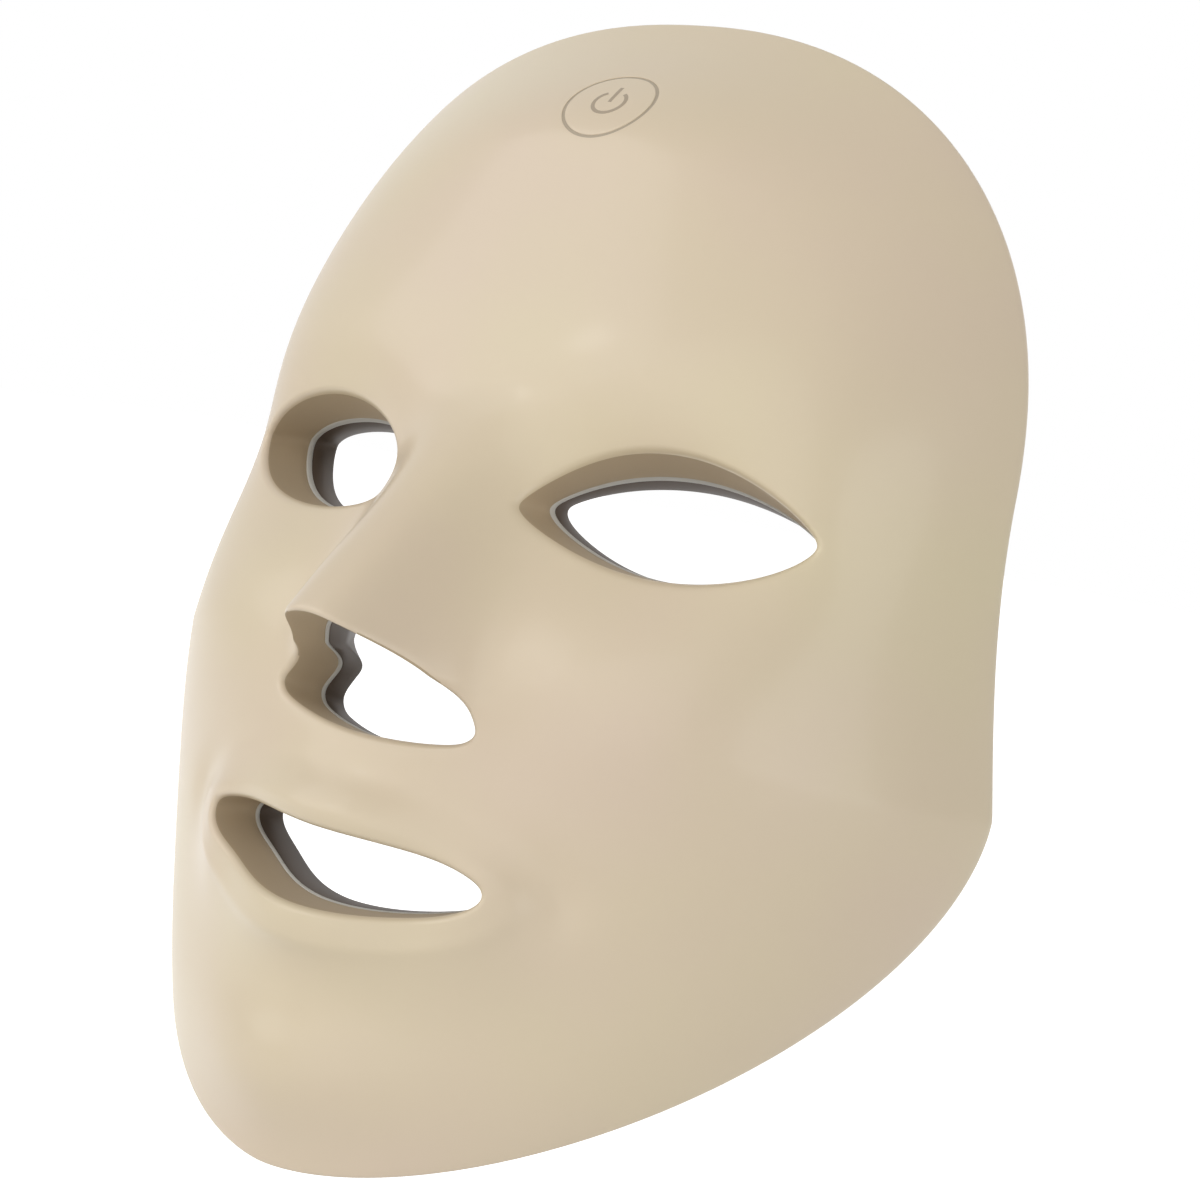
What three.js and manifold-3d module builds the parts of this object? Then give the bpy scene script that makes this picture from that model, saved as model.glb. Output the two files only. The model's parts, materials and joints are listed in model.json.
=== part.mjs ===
// LED face mask, in millimetres.
// +X is the wearer's left, -Y looks out of the face and +Z is up.
// The origin lies on the symmetry plane, in the plane of the edges beside the ears.

import * as THREE from "three";
import { mergeVertices } from "three/addons/utils/BufferGeometryUtils.js";
import Module from "manifold-3d";

const wasm = await Module();
wasm.setup();

// Outline of the face, seen from the front
const templeHalfWidth = 86.6;
const jawHalfWidth = 93.9;
const crownTop = 112.5;
const chinBottom = -112.7;
const templeLevel = 27.7;
const jawLevel = -31.5;
const faceCentre = -9.2;
const crownRoundness = 2.27;
const jawFallPower = 1.89;
const jawWidthPower = 1.77;

// How far the edge runs forward of the ears, and how the face domes
const crownForward = 2.6;
const chinForward = 82.1;
const crownForwardPower = 1.76;
const chinForwardPower = 1.71;
const domeDepth = 66;
const domeLean = -0.18;
const sideFullness = 0.948;
const sidePower = 2.79;
const heightFullness = 0.911;
const heightPower = 1.845;

// Swellings and hollows on the dome: those with an x stand in mirrored pairs
const forehead = { x: 0, z: 62, rise: 3.4, spreadX: 38, spreadZ: 26 };
const crown = { x: 0, z: 100, rise: 8.4, spreadX: 45, spreadZ: 18 };
const muzzle = { x: 0, z: -55, rise: 8.2, spreadX: 20, spreadZ: 20 };
const upperLip = { x: 0, z: -44.5, rise: 2.2, spreadX: 19, spreadZ: 3.6 };
const lowerLip = { x: 0, z: -67, rise: 1.8, spreadX: 17, spreadZ: 4 };
const lipCorner = { x: 31, z: -57.5, rise: 3, spreadX: 5.5, spreadZ: 7.5 };
const chinFold = { x: 0, z: -81, rise: -1.8, spreadX: 22, spreadZ: 7 };
const chin = { x: 0, z: -103, rise: 6, spreadX: 20, spreadZ: 14 };
const cheek = { x: 46, z: -14, rise: 3.3, spreadX: 20, spreadZ: 18 };
const socket = { x: 36.4, z: 13, rise: -12.3, spreadX: 17, spreadZ: 12 };
const temple = { x: 70, z: 30, rise: 1.5, spreadX: 16, spreadZ: 30 };
const jowl = { x: 45, z: -80, rise: -1.1, spreadX: 22, spreadZ: 25 };
const mouthSwellings = [muzzle, upperLip, lowerLip, lipCorner, chinFold];
const swellings = [forehead, crown, ...mouthSwellings, chin, cheek, socket, temple, jowl];
const swellingFadeShare = 0.25;

// Nose
const noseRootLevel = 34.2;
const noseEndLevel = -19.3;
const noseUnderside = 7.4;
const noseHeight = 31.2;
const noseSpread = 11.4;
const noseRootSpread = 8.15;
const noseRisePower = 0.714;
const noseRootRounding = 0.45;
const noseFlankPower = 2.85;
const noseRootPower = 2;
const noseRelief = 7;

// Walls, from the outside of the face to the wearer
const shellWall = 2.4;
const cavityDepth = 11;
const rearWall = 2;
const lipHeight = 1;
const lipSeat = 0.9;
const rimBlend = 16;
const gap = 0.3;
const bite = 1;
const overrun = 60;

// Eye openings: outline at the face, and how it draws in towards the wearer
const eyeXShare = 0.4665;
const eyeWidthShare = 0.2945;
const eyeX = templeHalfWidth * eyeXShare;
const eyeLevel = 13;
const eyeHalfWidth = templeHalfWidth * eyeWidthShare;
const eyeUpperHeight = 13.1;
const eyeLowerHeight = 9.7;
const eyeTilt = 2.5;
const eyeUpperSkew = -0.083;
const eyeLowerSkew = 0.109;
const eyeUpperPower = 1.47;
const eyeLowerPower = 1.32;
const eyeUpperDraw = 6.7;
const eyeLowerFlare = 1.2;
const eyeOuterDraw = 6;

// Nose opening and mouth opening
const nostrilWidthShare = 0.253;
const nostrilHalfWidth = jawHalfWidth * nostrilWidthShare;
const nostrilTop = -11.3;
const nostrilBase = -30.2;
const nostrilFallShare = 0.906;
const nostrilFallPower = 2.03;
const nostrilSill = 4.4;
const nostrilLift = 1.9;
const nostrilSideDraw = 3.4;
const nostrilTopDraw = 0.6;
const nostrilBaseDrop = 3.5;
const mouthWidthShare = 0.3428;
const mouthHalfWidth = jawHalfWidth * mouthWidthShare;
const mouthLevel = -56.7;
const mouthHalfHeight = 6.86;
const mouthRise = 1.56;
const mouthPower = 2.15;
const mouthSideDraw = 4;
const mouthDrop = 1.5;

// Flanges round the openings, and the seals between the two shells
const flangeWall = 1.6;
const lipWall = 3;
const sealGap = 0.45;
const sealThickness = 2.3;
const sealProud = 0.4;
const sealWidth = 2.4;
const sealRoomLead = 4;

// Power button in the forehead, the switch under it and the control board
const buttonDrop = 21.9;
const buttonLevel = crownTop - buttonDrop;
const capRadius = 9.3;
const capFlangeRadius = 10.3;
const capFlangeThickness = 0.8;
const capPostRadius = 2;
const capPostLength = 0.4;
const buttonTravel = 0.5;
const plungerRadius = 1.75;
const plungerProud = 0.7;
const plungerSunk = 0.6;
const switchSide = 6;
const switchHeight = 2;
const boardThickness = 0.8;
const controlWidth = 44;
const controlHeight = 22;
const controlY = -4;
const connectorWidth = 14;
const connectorDepth = 3;
const controlPostRadius = 2.5;
const controlPostX = 17;

// Charging socket, which stands through the control board and opens to the wearer
const socketWidth = 9;
const socketHeight = 3.2;
const socketLength = 8.4;
const socketWall = 0.3;
const socketY = -7;
const tongueWidth = 6.6;
const tongueThickness = 0.7;

// Battery
const batteryDrop = 56.5;
const batteryLevel = crownTop - batteryDrop;
const batteryWidth = 36;
const batteryHeight = 26;
const batteryThickness = 5;
const batteryRoom = 0.8;
const batteryPadRadius = 4;
const batteryPadX = 9;
const leadThickness = 1.6;
const leadSlack = 0.6;

// LED boards and the ribbons between them
const ledBoardDepth = 10.4;
const ledBoardThickness = 0.8;
const ledSide = 3.6;
const ledHeight = 0.7;
const boardPostRadius = 2.2;
const foreheadBoardClear = 24.6;
const foreheadBoardTaper = 10;
const foreheadBoardRise = 22;
const foreheadBoardDrop = 38.5;
const foreheadBoardHalf = templeHalfWidth - foreheadBoardClear;
const foreheadBoardTopHalf = foreheadBoardHalf - foreheadBoardTaper;
const foreheadBoardBase = eyeLevel + foreheadBoardRise;
const foreheadBoardTop = crownTop - foreheadBoardDrop;
const foreheadBoardLow = { inner: -foreheadBoardHalf, outer: foreheadBoardHalf, level: foreheadBoardBase };
const foreheadBoardHigh = { inner: -foreheadBoardTopHalf, outer: foreheadBoardTopHalf, level: foreheadBoardTop };
const cheekBoardJawClear = 29.9;
const cheekBoardTempleClear = 18.6;
const cheekBoardMouthClear = 3.8;
const cheekBoardNoseClear = 9.24;
const cheekInnerLow = mouthHalfWidth + cheekBoardMouthClear;
const cheekInnerHigh = nostrilHalfWidth + cheekBoardNoseClear;
const cheekOuterLow = jawHalfWidth - cheekBoardJawClear;
const cheekOuterHigh = templeHalfWidth - cheekBoardTempleClear;
const cheekBoardLow = { inner: cheekInnerLow, outer: cheekOuterLow, level: -46 };
const cheekBoardHigh = { inner: cheekInnerHigh, outer: cheekOuterHigh, level: -5 };
const lipBoardMouthClear = 8.19;
const lipBoardHalf = mouthHalfWidth - lipBoardMouthClear;
const lipBoardLow = { inner: -lipBoardHalf, outer: lipBoardHalf, level: -46.3 };
const lipBoardHigh = { inner: -lipBoardHalf, outer: lipBoardHalf, level: -39.3 };
const chinBoardRise = 22.7;
const chinBoardHeight = 21;
const chinBoardBase = chinBottom + chinBoardRise;
const chinBoardTop = chinBoardBase + chinBoardHeight;
const chinBoardLowShare = 0.266;
const chinBoardHighShare = 0.2875;
const chinBoardLowHalf = jawHalfWidth * chinBoardLowShare;
const chinBoardHighHalf = jawHalfWidth * chinBoardHighShare;
const chinBoardLow = { inner: -chinBoardLowHalf, outer: chinBoardLowHalf, level: chinBoardBase };
const chinBoardHigh = { inner: -chinBoardHighHalf, outer: chinBoardHighHalf, level: chinBoardTop };
const ribbonWidth = 6;
const ribbonThickness = 0.4;
const ribbonGap = 0.6;
const templeRibbonStartRun = 18.7;
const templeRibbonEndRun = 13.3;
const templeRibbonForward = 3;
const templeRibbonStartShare = 0.16;
const templeRibbonEndShare = 0.78;
const chinRibbonForward = 2;
const chinRibbonPullShare = 0.6;
const chinRibbonEndShare = 0.72;

// Case screws
const screwRadius = 1.1;
const screwHeadRadius = 2.3;
const screwHeadHeight = 1.4;
const screwLength = 6;
const screwPad = 1.2;
const screwPadRadius = 4;
const bossRadius = 3;
const upperScrewShare = 0.5774;
const upperScrewDrop = 28.5;
const lowerScrewShare = 0.3834;
const lowerScrewRise = 24.7;
const screwPlaces = [
  { x: templeHalfWidth * upperScrewShare, z: crownTop - upperScrewDrop },
  { x: jawHalfWidth * lowerScrewShare, z: chinBottom + lowerScrewRise },
];

// Strap brackets inside the ear edges
const strapBarClear = 23.4;
const strapBarX = jawHalfWidth - strapBarClear;
const strapBarY = -8;
const strapLevel = -18;
const strapBarWidth = 3;
const strapBarDepth = 4;
const strapOpening = 28;
const strapPostSide = 4;

// Fineness of the meshes
const stations = 42;
const outerRings = 10;
const innerRings = 7;
const outerNoseRings = 3;
const innerNoseRings = 2;
const eyeSteps = 20;
const mouthSteps = 18;
const nostrilSteps = 5;
const ringCrowding = 1.25;
const searchSteps = 40;

// Depths below the face that follow from the walls
const rearFaceDepth = shellWall + cavityDepth;
const rearBackDepth = rearFaceDepth + rearWall;
const tunnelDepth = rearBackDepth + lipHeight;
const lipFrontDepth = rearFaceDepth - lipSeat;
const sealBackDepth = lipFrontDepth - sealGap;
const sealFrontDepth = sealBackDepth - sealThickness;
const midWall = shellWall / 2;

// Colours and finishes
const beigePlastic = { color: 0xd9c8ae, roughness: 0.28, metalness: 0 };
const smokePlastic = { color: 0x6d6a66, roughness: 0.15, metalness: 0 };
const sealRubber = { color: 0xb9b9b4, roughness: 0.45, metalness: 0 };
const greenBoard = { color: 0x2f6b45, roughness: 0.5, metalness: 0 };
const whiteBoard = { color: 0xe9e9e4, roughness: 0.5, metalness: 0 };
const amberRibbon = { color: 0xb9772c, roughness: 0.45, metalness: 0 };
const blackPlastic = { color: 0x1d1d1f, roughness: 0.5, metalness: 0 };
const steel = { color: 0xb8babd, roughness: 0.3, metalness: 1 };
const cellWrap = { color: 0x9fb4c4, roughness: 0.4, metalness: 0 };

const mask = new THREE.Group();

// Face surface

const clampShare = (value) => Math.min(Math.max(value, 0), 1);
const smoothShare = (share) => share * share * (3 - 2 * share);
const lerp = (from, to, share) => from + (to - from) * share;

function halfWidthAt(z) {
  if (z > crownTop || z < chinBottom) {
    return -1;
  }
  if (z > templeLevel) {
    const share = (z - templeLevel) / (crownTop - templeLevel);
    return templeHalfWidth * (1 - share ** crownRoundness) ** (1 / crownRoundness);
  }
  if (z > jawLevel) {
    const share = (z - jawLevel) / (templeLevel - jawLevel);
    return lerp(jawHalfWidth, templeHalfWidth, Math.sin((share * Math.PI) / 2));
  }
  const share = (jawLevel - z) / (jawLevel - chinBottom);
  return jawHalfWidth * (1 - share ** jawFallPower) ** (1 / jawWidthPower);
}

function rimRadius(angle) {
  const across = Math.abs(Math.cos(angle));
  const up = Math.sin(angle);
  let inside = 0;
  let outside = jawHalfWidth + crownTop - chinBottom;
  for (let step = 0; step < searchSteps; step++) {
    const radius = (inside + outside) / 2;
    if (halfWidthAt(faceCentre + radius * up) > radius * across) {
      inside = radius;
    } else {
      outside = radius;
    }
  }
  return inside;
}

function rimY(z) {
  const up = clampShare((z - templeLevel) / (crownTop - templeLevel));
  const down = clampShare((jawLevel - z) / (jawLevel - chinBottom));
  return -crownForward * up ** crownForwardPower - chinForward * down ** chinForwardPower;
}

function bell(x, z, swelling, side) {
  const across = (x - side * swelling.x) / swelling.spreadX;
  const along = (z - swelling.z) / swelling.spreadZ;
  return swelling.rise * Math.exp(-(across * across + along * along) / 2);
}

function noseRise(x, z, depth) {
  const down = clampShare((noseRootLevel - z) / (noseRootLevel - noseEndLevel));
  const soft = Math.hypot(down, noseRootRounding) - noseRootRounding;
  const climb = soft / (Math.hypot(1, noseRootRounding) - noseRootRounding);
  const below = smoothShare(clampShare((noseEndLevel - z) / noseUnderside));
  const height = noseHeight - (noseRelief * depth) / tunnelDepth;
  const spread = lerp(noseRootSpread, noseSpread, down);
  const flank = Math.abs(x / spread) ** lerp(noseRootPower, noseFlankPower, down);
  return height * climb ** noseRisePower * (1 - below) * Math.exp(-flank / 2);
}

function swellingRise(x, z, depth) {
  let rise = noseRise(x, z, depth);
  for (const swelling of swellings) {
    rise += bell(x, z, swelling, 1);
    if (swelling.x > 0) {
      rise += bell(x, z, swelling, -1);
    }
  }
  return rise;
}

// How far a layer's edge lies inside the outer edge of the face
function edgeInset(depth) {
  if (depth <= shellWall) {
    return depth;
  }
  if (depth <= rearFaceDepth) {
    return shellWall + (gap * (depth - shellWall)) / cavityDepth;
  }
  return depth - cavityDepth + gap;
}

// y of the layer that lies at a depth below the outer face
function layerY(x, z, depth) {
  const angle = Math.atan2(z - faceCentre, x);
  const reach = rimRadius(angle) - edgeInset(depth);
  const share = clampShare(Math.hypot(x, z - faceCentre) / reach);
  const sideways = Math.cos(angle) ** 2;
  const fullness = lerp(heightFullness, sideFullness, sideways);
  const power = lerp(heightPower, sidePower, sideways);
  const edge = Math.sqrt(1 - fullness ** power);
  const dome = (Math.sqrt(1 - (fullness * share) ** power) - edge) / (1 - edge);
  const crest = -(domeDepth + domeLean * (z - faceCentre)) * dome;
  const rim = rimY(faceCentre + reach * Math.sin(angle)) * (1 - dome);
  const fade = smoothShare(clampShare((1 - share) / swellingFadeShare));
  const sink = smoothShare(clampShare(((1 - share) * reach) / rimBlend));
  return crest + rim - swellingRise(x, z, depth) * fade + depth * sink;
}

function layerPoint(x, z, depth) {
  return new THREE.Vector3(x, layerY(x, z, depth), z);
}

// A loop of the layer: radiusAt gives its distance from the centre for the edge's distance
function layerLoop(depth, radiusAt) {
  const loop = [];
  for (let index = 0; index < stations; index++) {
    const angle = (2 * Math.PI * index) / stations - Math.PI / 2;
    const radius = radiusAt(rimRadius(angle) - edgeInset(depth));
    loop.push(layerPoint(radius * Math.cos(angle), faceCentre + radius * Math.sin(angle), depth));
  }
  return loop;
}

// Round loops follow the nose's end and underside, then the rest spread out to the edge
function layerLoops(depth, rings) {
  const noseRings = rings === outerRings ? outerNoseRings : innerNoseRings;
  const noseEnd = faceCentre - noseEndLevel;
  const loops = [];
  for (let ring = 1; ring <= noseRings; ring++) {
    loops.push(layerLoop(depth, () => (noseEnd * ring) / noseRings));
  }
  for (let ring = 1; ring <= noseRings; ring++) {
    loops.push(layerLoop(depth, () => noseEnd + (noseUnderside * ring) / noseRings));
  }
  const start = noseEnd + noseUnderside;
  for (let ring = 1; ring <= rings; ring++) {
    const share = 1 - (1 - ring / rings) ** ringCrowding;
    loops.push(layerLoop(depth, (edge) => lerp(start, edge, share)));
  }
  return loops;
}

// A frame on a layer: its z axis points out of the face and its y axis up the face
function faceFrame(x, z, depth) {
  const reach = gap;
  const slopeX = (layerY(x + reach, z, depth) - layerY(x - reach, z, depth)) / (2 * reach);
  const slopeZ = (layerY(x, z + reach, depth) - layerY(x, z - reach, depth)) / (2 * reach);
  const out = new THREE.Vector3(slopeX, -1, slopeZ).normalize();
  const up = new THREE.Vector3(0, 0, 1).addScaledVector(out, -out.z).normalize();
  const across = new THREE.Vector3().crossVectors(up, out);
  const frame = new THREE.Matrix4().makeBasis(across, up, out);
  return frame.setPosition(layerPoint(x, z, depth));
}

// Height of a layer over the frame's base plane, at a point of that plane
function layerHeight(frame, across, up, depth) {
  let low = -overrun;
  let high = overrun / 2;
  for (let step = 0; step < searchSteps; step++) {
    const height = (low + high) / 2;
    const point = new THREE.Vector3(across, up, height).applyMatrix4(frame);
    if (point.y > layerY(point.x, point.z, depth)) {
      low = height;
    } else {
      high = height;
    }
  }
  return low;
}

// Solids

function signedVolume(positions, index) {
  const corner = (at) => new THREE.Vector3().fromArray(positions, 3 * index[at]);
  let volume = 0;
  for (let at = 0; at < index.length; at += 3) {
    volume += corner(at).dot(corner(at + 1).cross(corner(at + 2))) / 6;
  }
  return volume;
}

function toSolid(geometry) {
  const bare = geometry.clone();
  bare.deleteAttribute("normal");
  bare.deleteAttribute("uv");
  const merged = mergeVertices(bare);
  const vertProperties = new Float32Array(merged.attributes.position.array);
  const triVerts = new Uint32Array(merged.index.array);
  if (signedVolume(vertProperties, triVerts) < 0) {
    triVerts.reverse();
  }
  return new wasm.Manifold(new wasm.Mesh({ numProp: 3, vertProperties, triVerts }));
}

function toGeometry(solid) {
  const mesh = solid.getMesh();
  const geometry = new THREE.BufferGeometry();
  geometry.setAttribute("position", new THREE.BufferAttribute(mesh.vertProperties, 3));
  geometry.setIndex(new THREE.BufferAttribute(mesh.triVerts, 1));
  const flat = geometry.toNonIndexed();
  flat.computeVertexNormals();
  return flat;
}

function addPiece(name, solid, finish) {
  const mesh = new THREE.Mesh(toGeometry(solid), new THREE.MeshStandardMaterial(finish));
  mesh.name = name;
  mask.add(mesh);
}

function solidFrom(points, faces) {
  const geometry = new THREE.BufferGeometry();
  geometry.setFromPoints(points);
  geometry.setIndex(faces);
  return toSolid(geometry);
}

// A loft through loops of equal count, closed by a point at each end
function loft(loops, first, last) {
  const count = loops[0].length;
  const points = [...loops.flat(), first, last];
  const faces = [];
  const end = (loops.length - 1) * count;
  for (let index = 0; index < count; index++) {
    const next = (index + 1) % count;
    faces.push(next, index, points.length - 2);
    faces.push(end + index, end + next, points.length - 1);
    for (let ring = 0; ring < end; ring += count) {
      faces.push(ring + index, ring + next, ring + count + index);
      faces.push(ring + next, ring + count + next, ring + count + index);
    }
  }
  return solidFrom(points, faces);
}

// A ring whose section is given by loops that close on themselves
function ringLoft(loops) {
  const count = loops[0].length;
  const total = loops.length * count;
  const faces = [];
  for (let ring = 0; ring < total; ring += count) {
    const after = (ring + count) % total;
    for (let index = 0; index < count; index++) {
      const next = (index + 1) % count;
      faces.push(ring + index, ring + next, after + index);
      faces.push(ring + next, after + next, after + index);
    }
  }
  return solidFrom(loops.flat(), faces);
}

// A thin sheet that follows the face: place gives x and z for two shares, and depthAt the
// depth of the sheet's face for the second share
function faceSheet(place, columns, rows, depthAt, thickness) {
  const points = [];
  for (const extra of [0, thickness]) {
    for (let row = 0; row <= rows; row++) {
      for (let column = 0; column <= columns; column++) {
        const { x, z } = place(column / columns, row / rows);
        points.push(layerPoint(x, z, depthAt(row / rows) + extra));
      }
    }
  }
  const wide = columns + 1;
  const far = points.length / 2;
  const faces = [];
  const quad = (a, b, c, d) => faces.push(a, b, c, a, c, d);
  for (let row = 0; row < rows; row++) {
    for (let column = 0; column < columns; column++) {
      const at = row * wide + column;
      quad(at, at + 1, at + wide + 1, at + wide);
      quad(far + at, far + at + wide, far + at + wide + 1, far + at + 1);
    }
    const left = row * wide;
    const right = left + columns;
    quad(left, left + wide, far + left + wide, far + left);
    quad(right, far + right, far + right + wide, right + wide);
  }
  for (let column = 0; column < columns; column++) {
    const top = rows * wide + column;
    quad(column, far + column, far + column + 1, column + 1);
    quad(top, top + 1, far + top + 1, far + top);
  }
  return solidFrom(points, faces);
}

// Everything that lies behind a layer, as far back as the overrun
const regions = new Map();
function behind(depth) {
  if (!regions.has(depth)) {
    const rings = depth > 0 ? innerRings : outerRings;
    const loops = layerLoops(depth, rings);
    const rim = loops[loops.length - 1];
    const backLoop = rim.map((point) => new THREE.Vector3(point.x, overrun, point.z));
    const pole = layerPoint(0, faceCentre, depth);
    regions.set(depth, loft([...loops, backLoop], pole, new THREE.Vector3(0, overrun, faceCentre)));
  }
  return regions.get(depth);
}

function layerShell(nearDepth, farDepth, nearRings, farRings) {
  const loops = [...layerLoops(nearDepth, nearRings), ...layerLoops(farDepth, farRings).reverse()];
  return loft(loops, layerPoint(0, faceCentre, nearDepth), layerPoint(0, faceCentre, farDepth));
}

function box(width, height, length, x, y, z, frame) {
  const geometry = new THREE.BoxGeometry(width, height, length);
  geometry.translate(x, y, z);
  return toSolid(geometry.applyMatrix4(frame));
}

// A round bar along the frame's z axis
function rod(radius, from, to, sides, x, y, frame) {
  const geometry = new THREE.CylinderGeometry(radius, radius, Math.abs(to - from), sides);
  geometry.rotateX(Math.PI / 2);
  geometry.translate(x, y, (from + to) / 2);
  return toSolid(geometry.applyMatrix4(frame));
}

const sum = (solids) => solids.reduce((whole, solid) => whole.add(solid));

// Openings: each outline is a closed run of points at the face and at the wearer's side

function eyeOutline(side) {
  const tilt = THREE.MathUtils.degToRad(eyeTilt);
  const trace = (upperHeight, lowerHeight, halfWidth, centreX) => {
    const outline = [];
    for (let index = 0; index < eyeSteps; index++) {
      const angle = (2 * Math.PI * index) / eyeSteps;
      const outward = Math.cos(angle);
      const lift = Math.abs(Math.sin(angle));
      const upper = Math.sin(angle) >= 0;
      const v = upper
        ? upperHeight * lift ** eyeUpperPower * (1 + eyeUpperSkew * outward)
        : -lowerHeight * lift ** eyeLowerPower * (1 + eyeLowerSkew * outward);
      const u = centreX - eyeX + halfWidth * outward;
      outline.push({
        x: side * (eyeX + u * Math.cos(tilt) - v * Math.sin(tilt)),
        z: eyeLevel + u * Math.sin(tilt) + v * Math.cos(tilt),
      });
    }
    return outline;
  };
  const rearUpper = eyeUpperHeight - eyeUpperDraw;
  const rearLower = eyeLowerHeight + eyeLowerFlare;
  const rearHalfWidth = eyeHalfWidth - eyeOuterDraw / 2;
  return {
    front: trace(eyeUpperHeight, eyeLowerHeight, eyeHalfWidth, eyeX),
    rear: trace(rearUpper, rearLower, rearHalfWidth, eyeX - eyeOuterDraw / 2),
  };
}

function noseOutline() {
  const sillStart = 0.45;
  const slopeEndShare = 0.98;
  const trace = (halfWidth, top, base) => {
    const half = [];
    for (let index = 0; index <= nostrilSteps; index++) {
      const share = index / nostrilSteps;
      const fall = (top - base) * nostrilFallShare * share ** nostrilFallPower;
      half.push({ x: share * slopeEndShare * halfWidth, z: top - fall });
    }
    for (let index = 0; index <= nostrilSteps; index++) {
      const angle = lerp(-sillStart, -Math.PI / 2, index / nostrilSteps);
      const x = halfWidth * Math.cos(angle);
      half.push({ x, z: base + nostrilLift + nostrilSill * Math.sin(angle) });
    }
    half[half.length - 1].x = 0;
    const mirrored = half.slice(1, -1).reverse();
    return [...half, ...mirrored.map((point) => ({ x: -point.x, z: point.z }))];
  };
  const rearHalfWidth = nostrilHalfWidth - nostrilSideDraw;
  return {
    front: trace(nostrilHalfWidth, nostrilTop, nostrilBase),
    rear: trace(rearHalfWidth, nostrilTop - nostrilTopDraw, nostrilBase - nostrilBaseDrop),
  };
}

function mouthOutline() {
  const trace = (halfWidth, level) => {
    const outline = [];
    for (let index = 0; index < mouthSteps; index++) {
      const angle = (2 * Math.PI * index) / mouthSteps;
      const share = Math.cos(angle);
      const height = mouthHalfHeight * (1 - Math.abs(share) ** mouthPower) ** (1 / 2);
      const base = level + mouthRise * share * share;
      outline.push({ x: share * halfWidth, z: base + Math.sign(Math.sin(angle)) * height });
    }
    return outline;
  };
  return {
    front: trace(mouthHalfWidth, mouthLevel),
    rear: trace(mouthHalfWidth - mouthSideDraw, mouthLevel - mouthDrop),
  };
}

// The outline at a depth, moved outwards by an offset, laid on that layer
function outlineLoop(outline, depth, offset) {
  const share = depth / tunnelDepth;
  const flat = outline.front.map((point, index) => ({
    x: lerp(point.x, outline.rear[index].x, share),
    z: lerp(point.z, outline.rear[index].z, share),
  }));
  const turn = Math.sign(area(flat));
  return flat.map((point, index) => {
    const before = flat[(index + flat.length - 1) % flat.length];
    const after = flat[(index + 1) % flat.length];
    const length = Math.hypot(after.x - before.x, after.z - before.z);
    const x = point.x + (turn * offset * (after.z - before.z)) / length;
    const z = point.z - (turn * offset * (after.x - before.x)) / length;
    return layerPoint(x, z, depth);
  });
}

function area(outline) {
  return outline.reduce((total, point, index) => {
    const next = outline[(index + 1) % outline.length];
    return total + (point.x * next.z - next.x * point.z) / 2;
  }, 0);
}

function centreOf(loop) {
  const total = loop.reduce((whole, point) => whole.add(point), new THREE.Vector3());
  return total.divideScalar(loop.length);
}

function openingCutter(outline) {
  const near = outlineLoop(outline, 0, 0);
  const far = outlineLoop(outline, tunnelDepth, 0);
  const front = near.map((point) => new THREE.Vector3(point.x, -domeDepth - overrun, point.z));
  const back = far.map((point) => new THREE.Vector3(point.x, overrun, point.z));
  return loft([front, near, far, back], centreOf(front), centreOf(back));
}

function openingRing(outline, nearDepth, farDepth, inward, outward) {
  return ringLoft([
    outlineLoop(outline, nearDepth, -inward),
    outlineLoop(outline, farDepth, -inward),
    outlineLoop(outline, farDepth, outward),
    outlineLoop(outline, nearDepth, outward),
  ]);
}

// A seal has a rounded nose that stands a little into the opening
function sealRing(outline) {
  const middle = (sealFrontDepth + sealBackDepth) / 2;
  const flangeEnd = sealFrontDepth - sealGap + gap;
  const flange = openingRing(outline, midWall, flangeEnd, bite, flangeWall + gap);
  const lip = openingRing(outline, lipFrontDepth - gap, tunnelDepth, bite, lipWall);
  return ringLoft([
    outlineLoop(outline, sealFrontDepth, 0),
    outlineLoop(outline, middle, -sealProud),
    outlineLoop(outline, sealBackDepth, 0),
    outlineLoop(outline, sealBackDepth, sealWidth),
    outlineLoop(outline, sealFrontDepth, sealWidth),
  ]).subtract(flange.add(lip));
}

const openings = [
  { name: "left_eye", outline: eyeOutline(1) },
  { name: "right_eye", outline: eyeOutline(-1) },
  { name: "nose", outline: noseOutline() },
  { name: "mouth", outline: mouthOutline() },
];
const cutters = sum(openings.map(({ outline }) => openingCutter(outline)));

// Button stack: heights are counted along the button's axis from the outer face
const buttonFrame = faceFrame(0, buttonLevel, 0);
const flangeTop = heightUnderCircle(capFlangeRadius) - gap;
const flangeBottom = flangeTop - capFlangeThickness;
const postBottom = flangeBottom - capPostLength;
const plungerTop = postBottom - gap;
const switchTop = plungerTop - plungerProud;
const switchBottom = switchTop - switchHeight;
const boardTop = switchBottom - gap;
const boardBottom = boardTop - boardThickness;

// Lowest point of the shell's inside over a circle round the button's axis
function heightUnderCircle(radius) {
  let lowest = 0;
  for (let step = 0; step < stations; step++) {
    const angle = (2 * Math.PI * step) / stations;
    const x = radius * Math.cos(angle);
    const height = layerHeight(buttonFrame, x, radius * Math.sin(angle), shellWall);
    lowest = Math.min(lowest, height);
  }
  return lowest;
}

// Socket: its back end is level with the rear shell at the socket's upper edge
const socketEdge = socketY + socketHeight / 2;
const socketBack = layerHeight(buttonFrame, 0, socketEdge, rearBackDepth);
const socketFront = socketBack + socketLength;

// Screws: heights are counted along each screw's axis from the outer face
function screwSeat(x, z) {
  const frame = faceFrame(x, z, 0);
  const back = layerHeight(frame, 0, 0, rearBackDepth);
  const floor = back + screwHeadHeight + gap;
  const padTop = floor + screwPad;
  return { frame, back, floor, padTop, bossEnd: padTop + gap };
}

const screwSeats = screwPlaces.flatMap(({ x, z }) => [screwSeat(x, z), screwSeat(-x, z)]);

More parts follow.
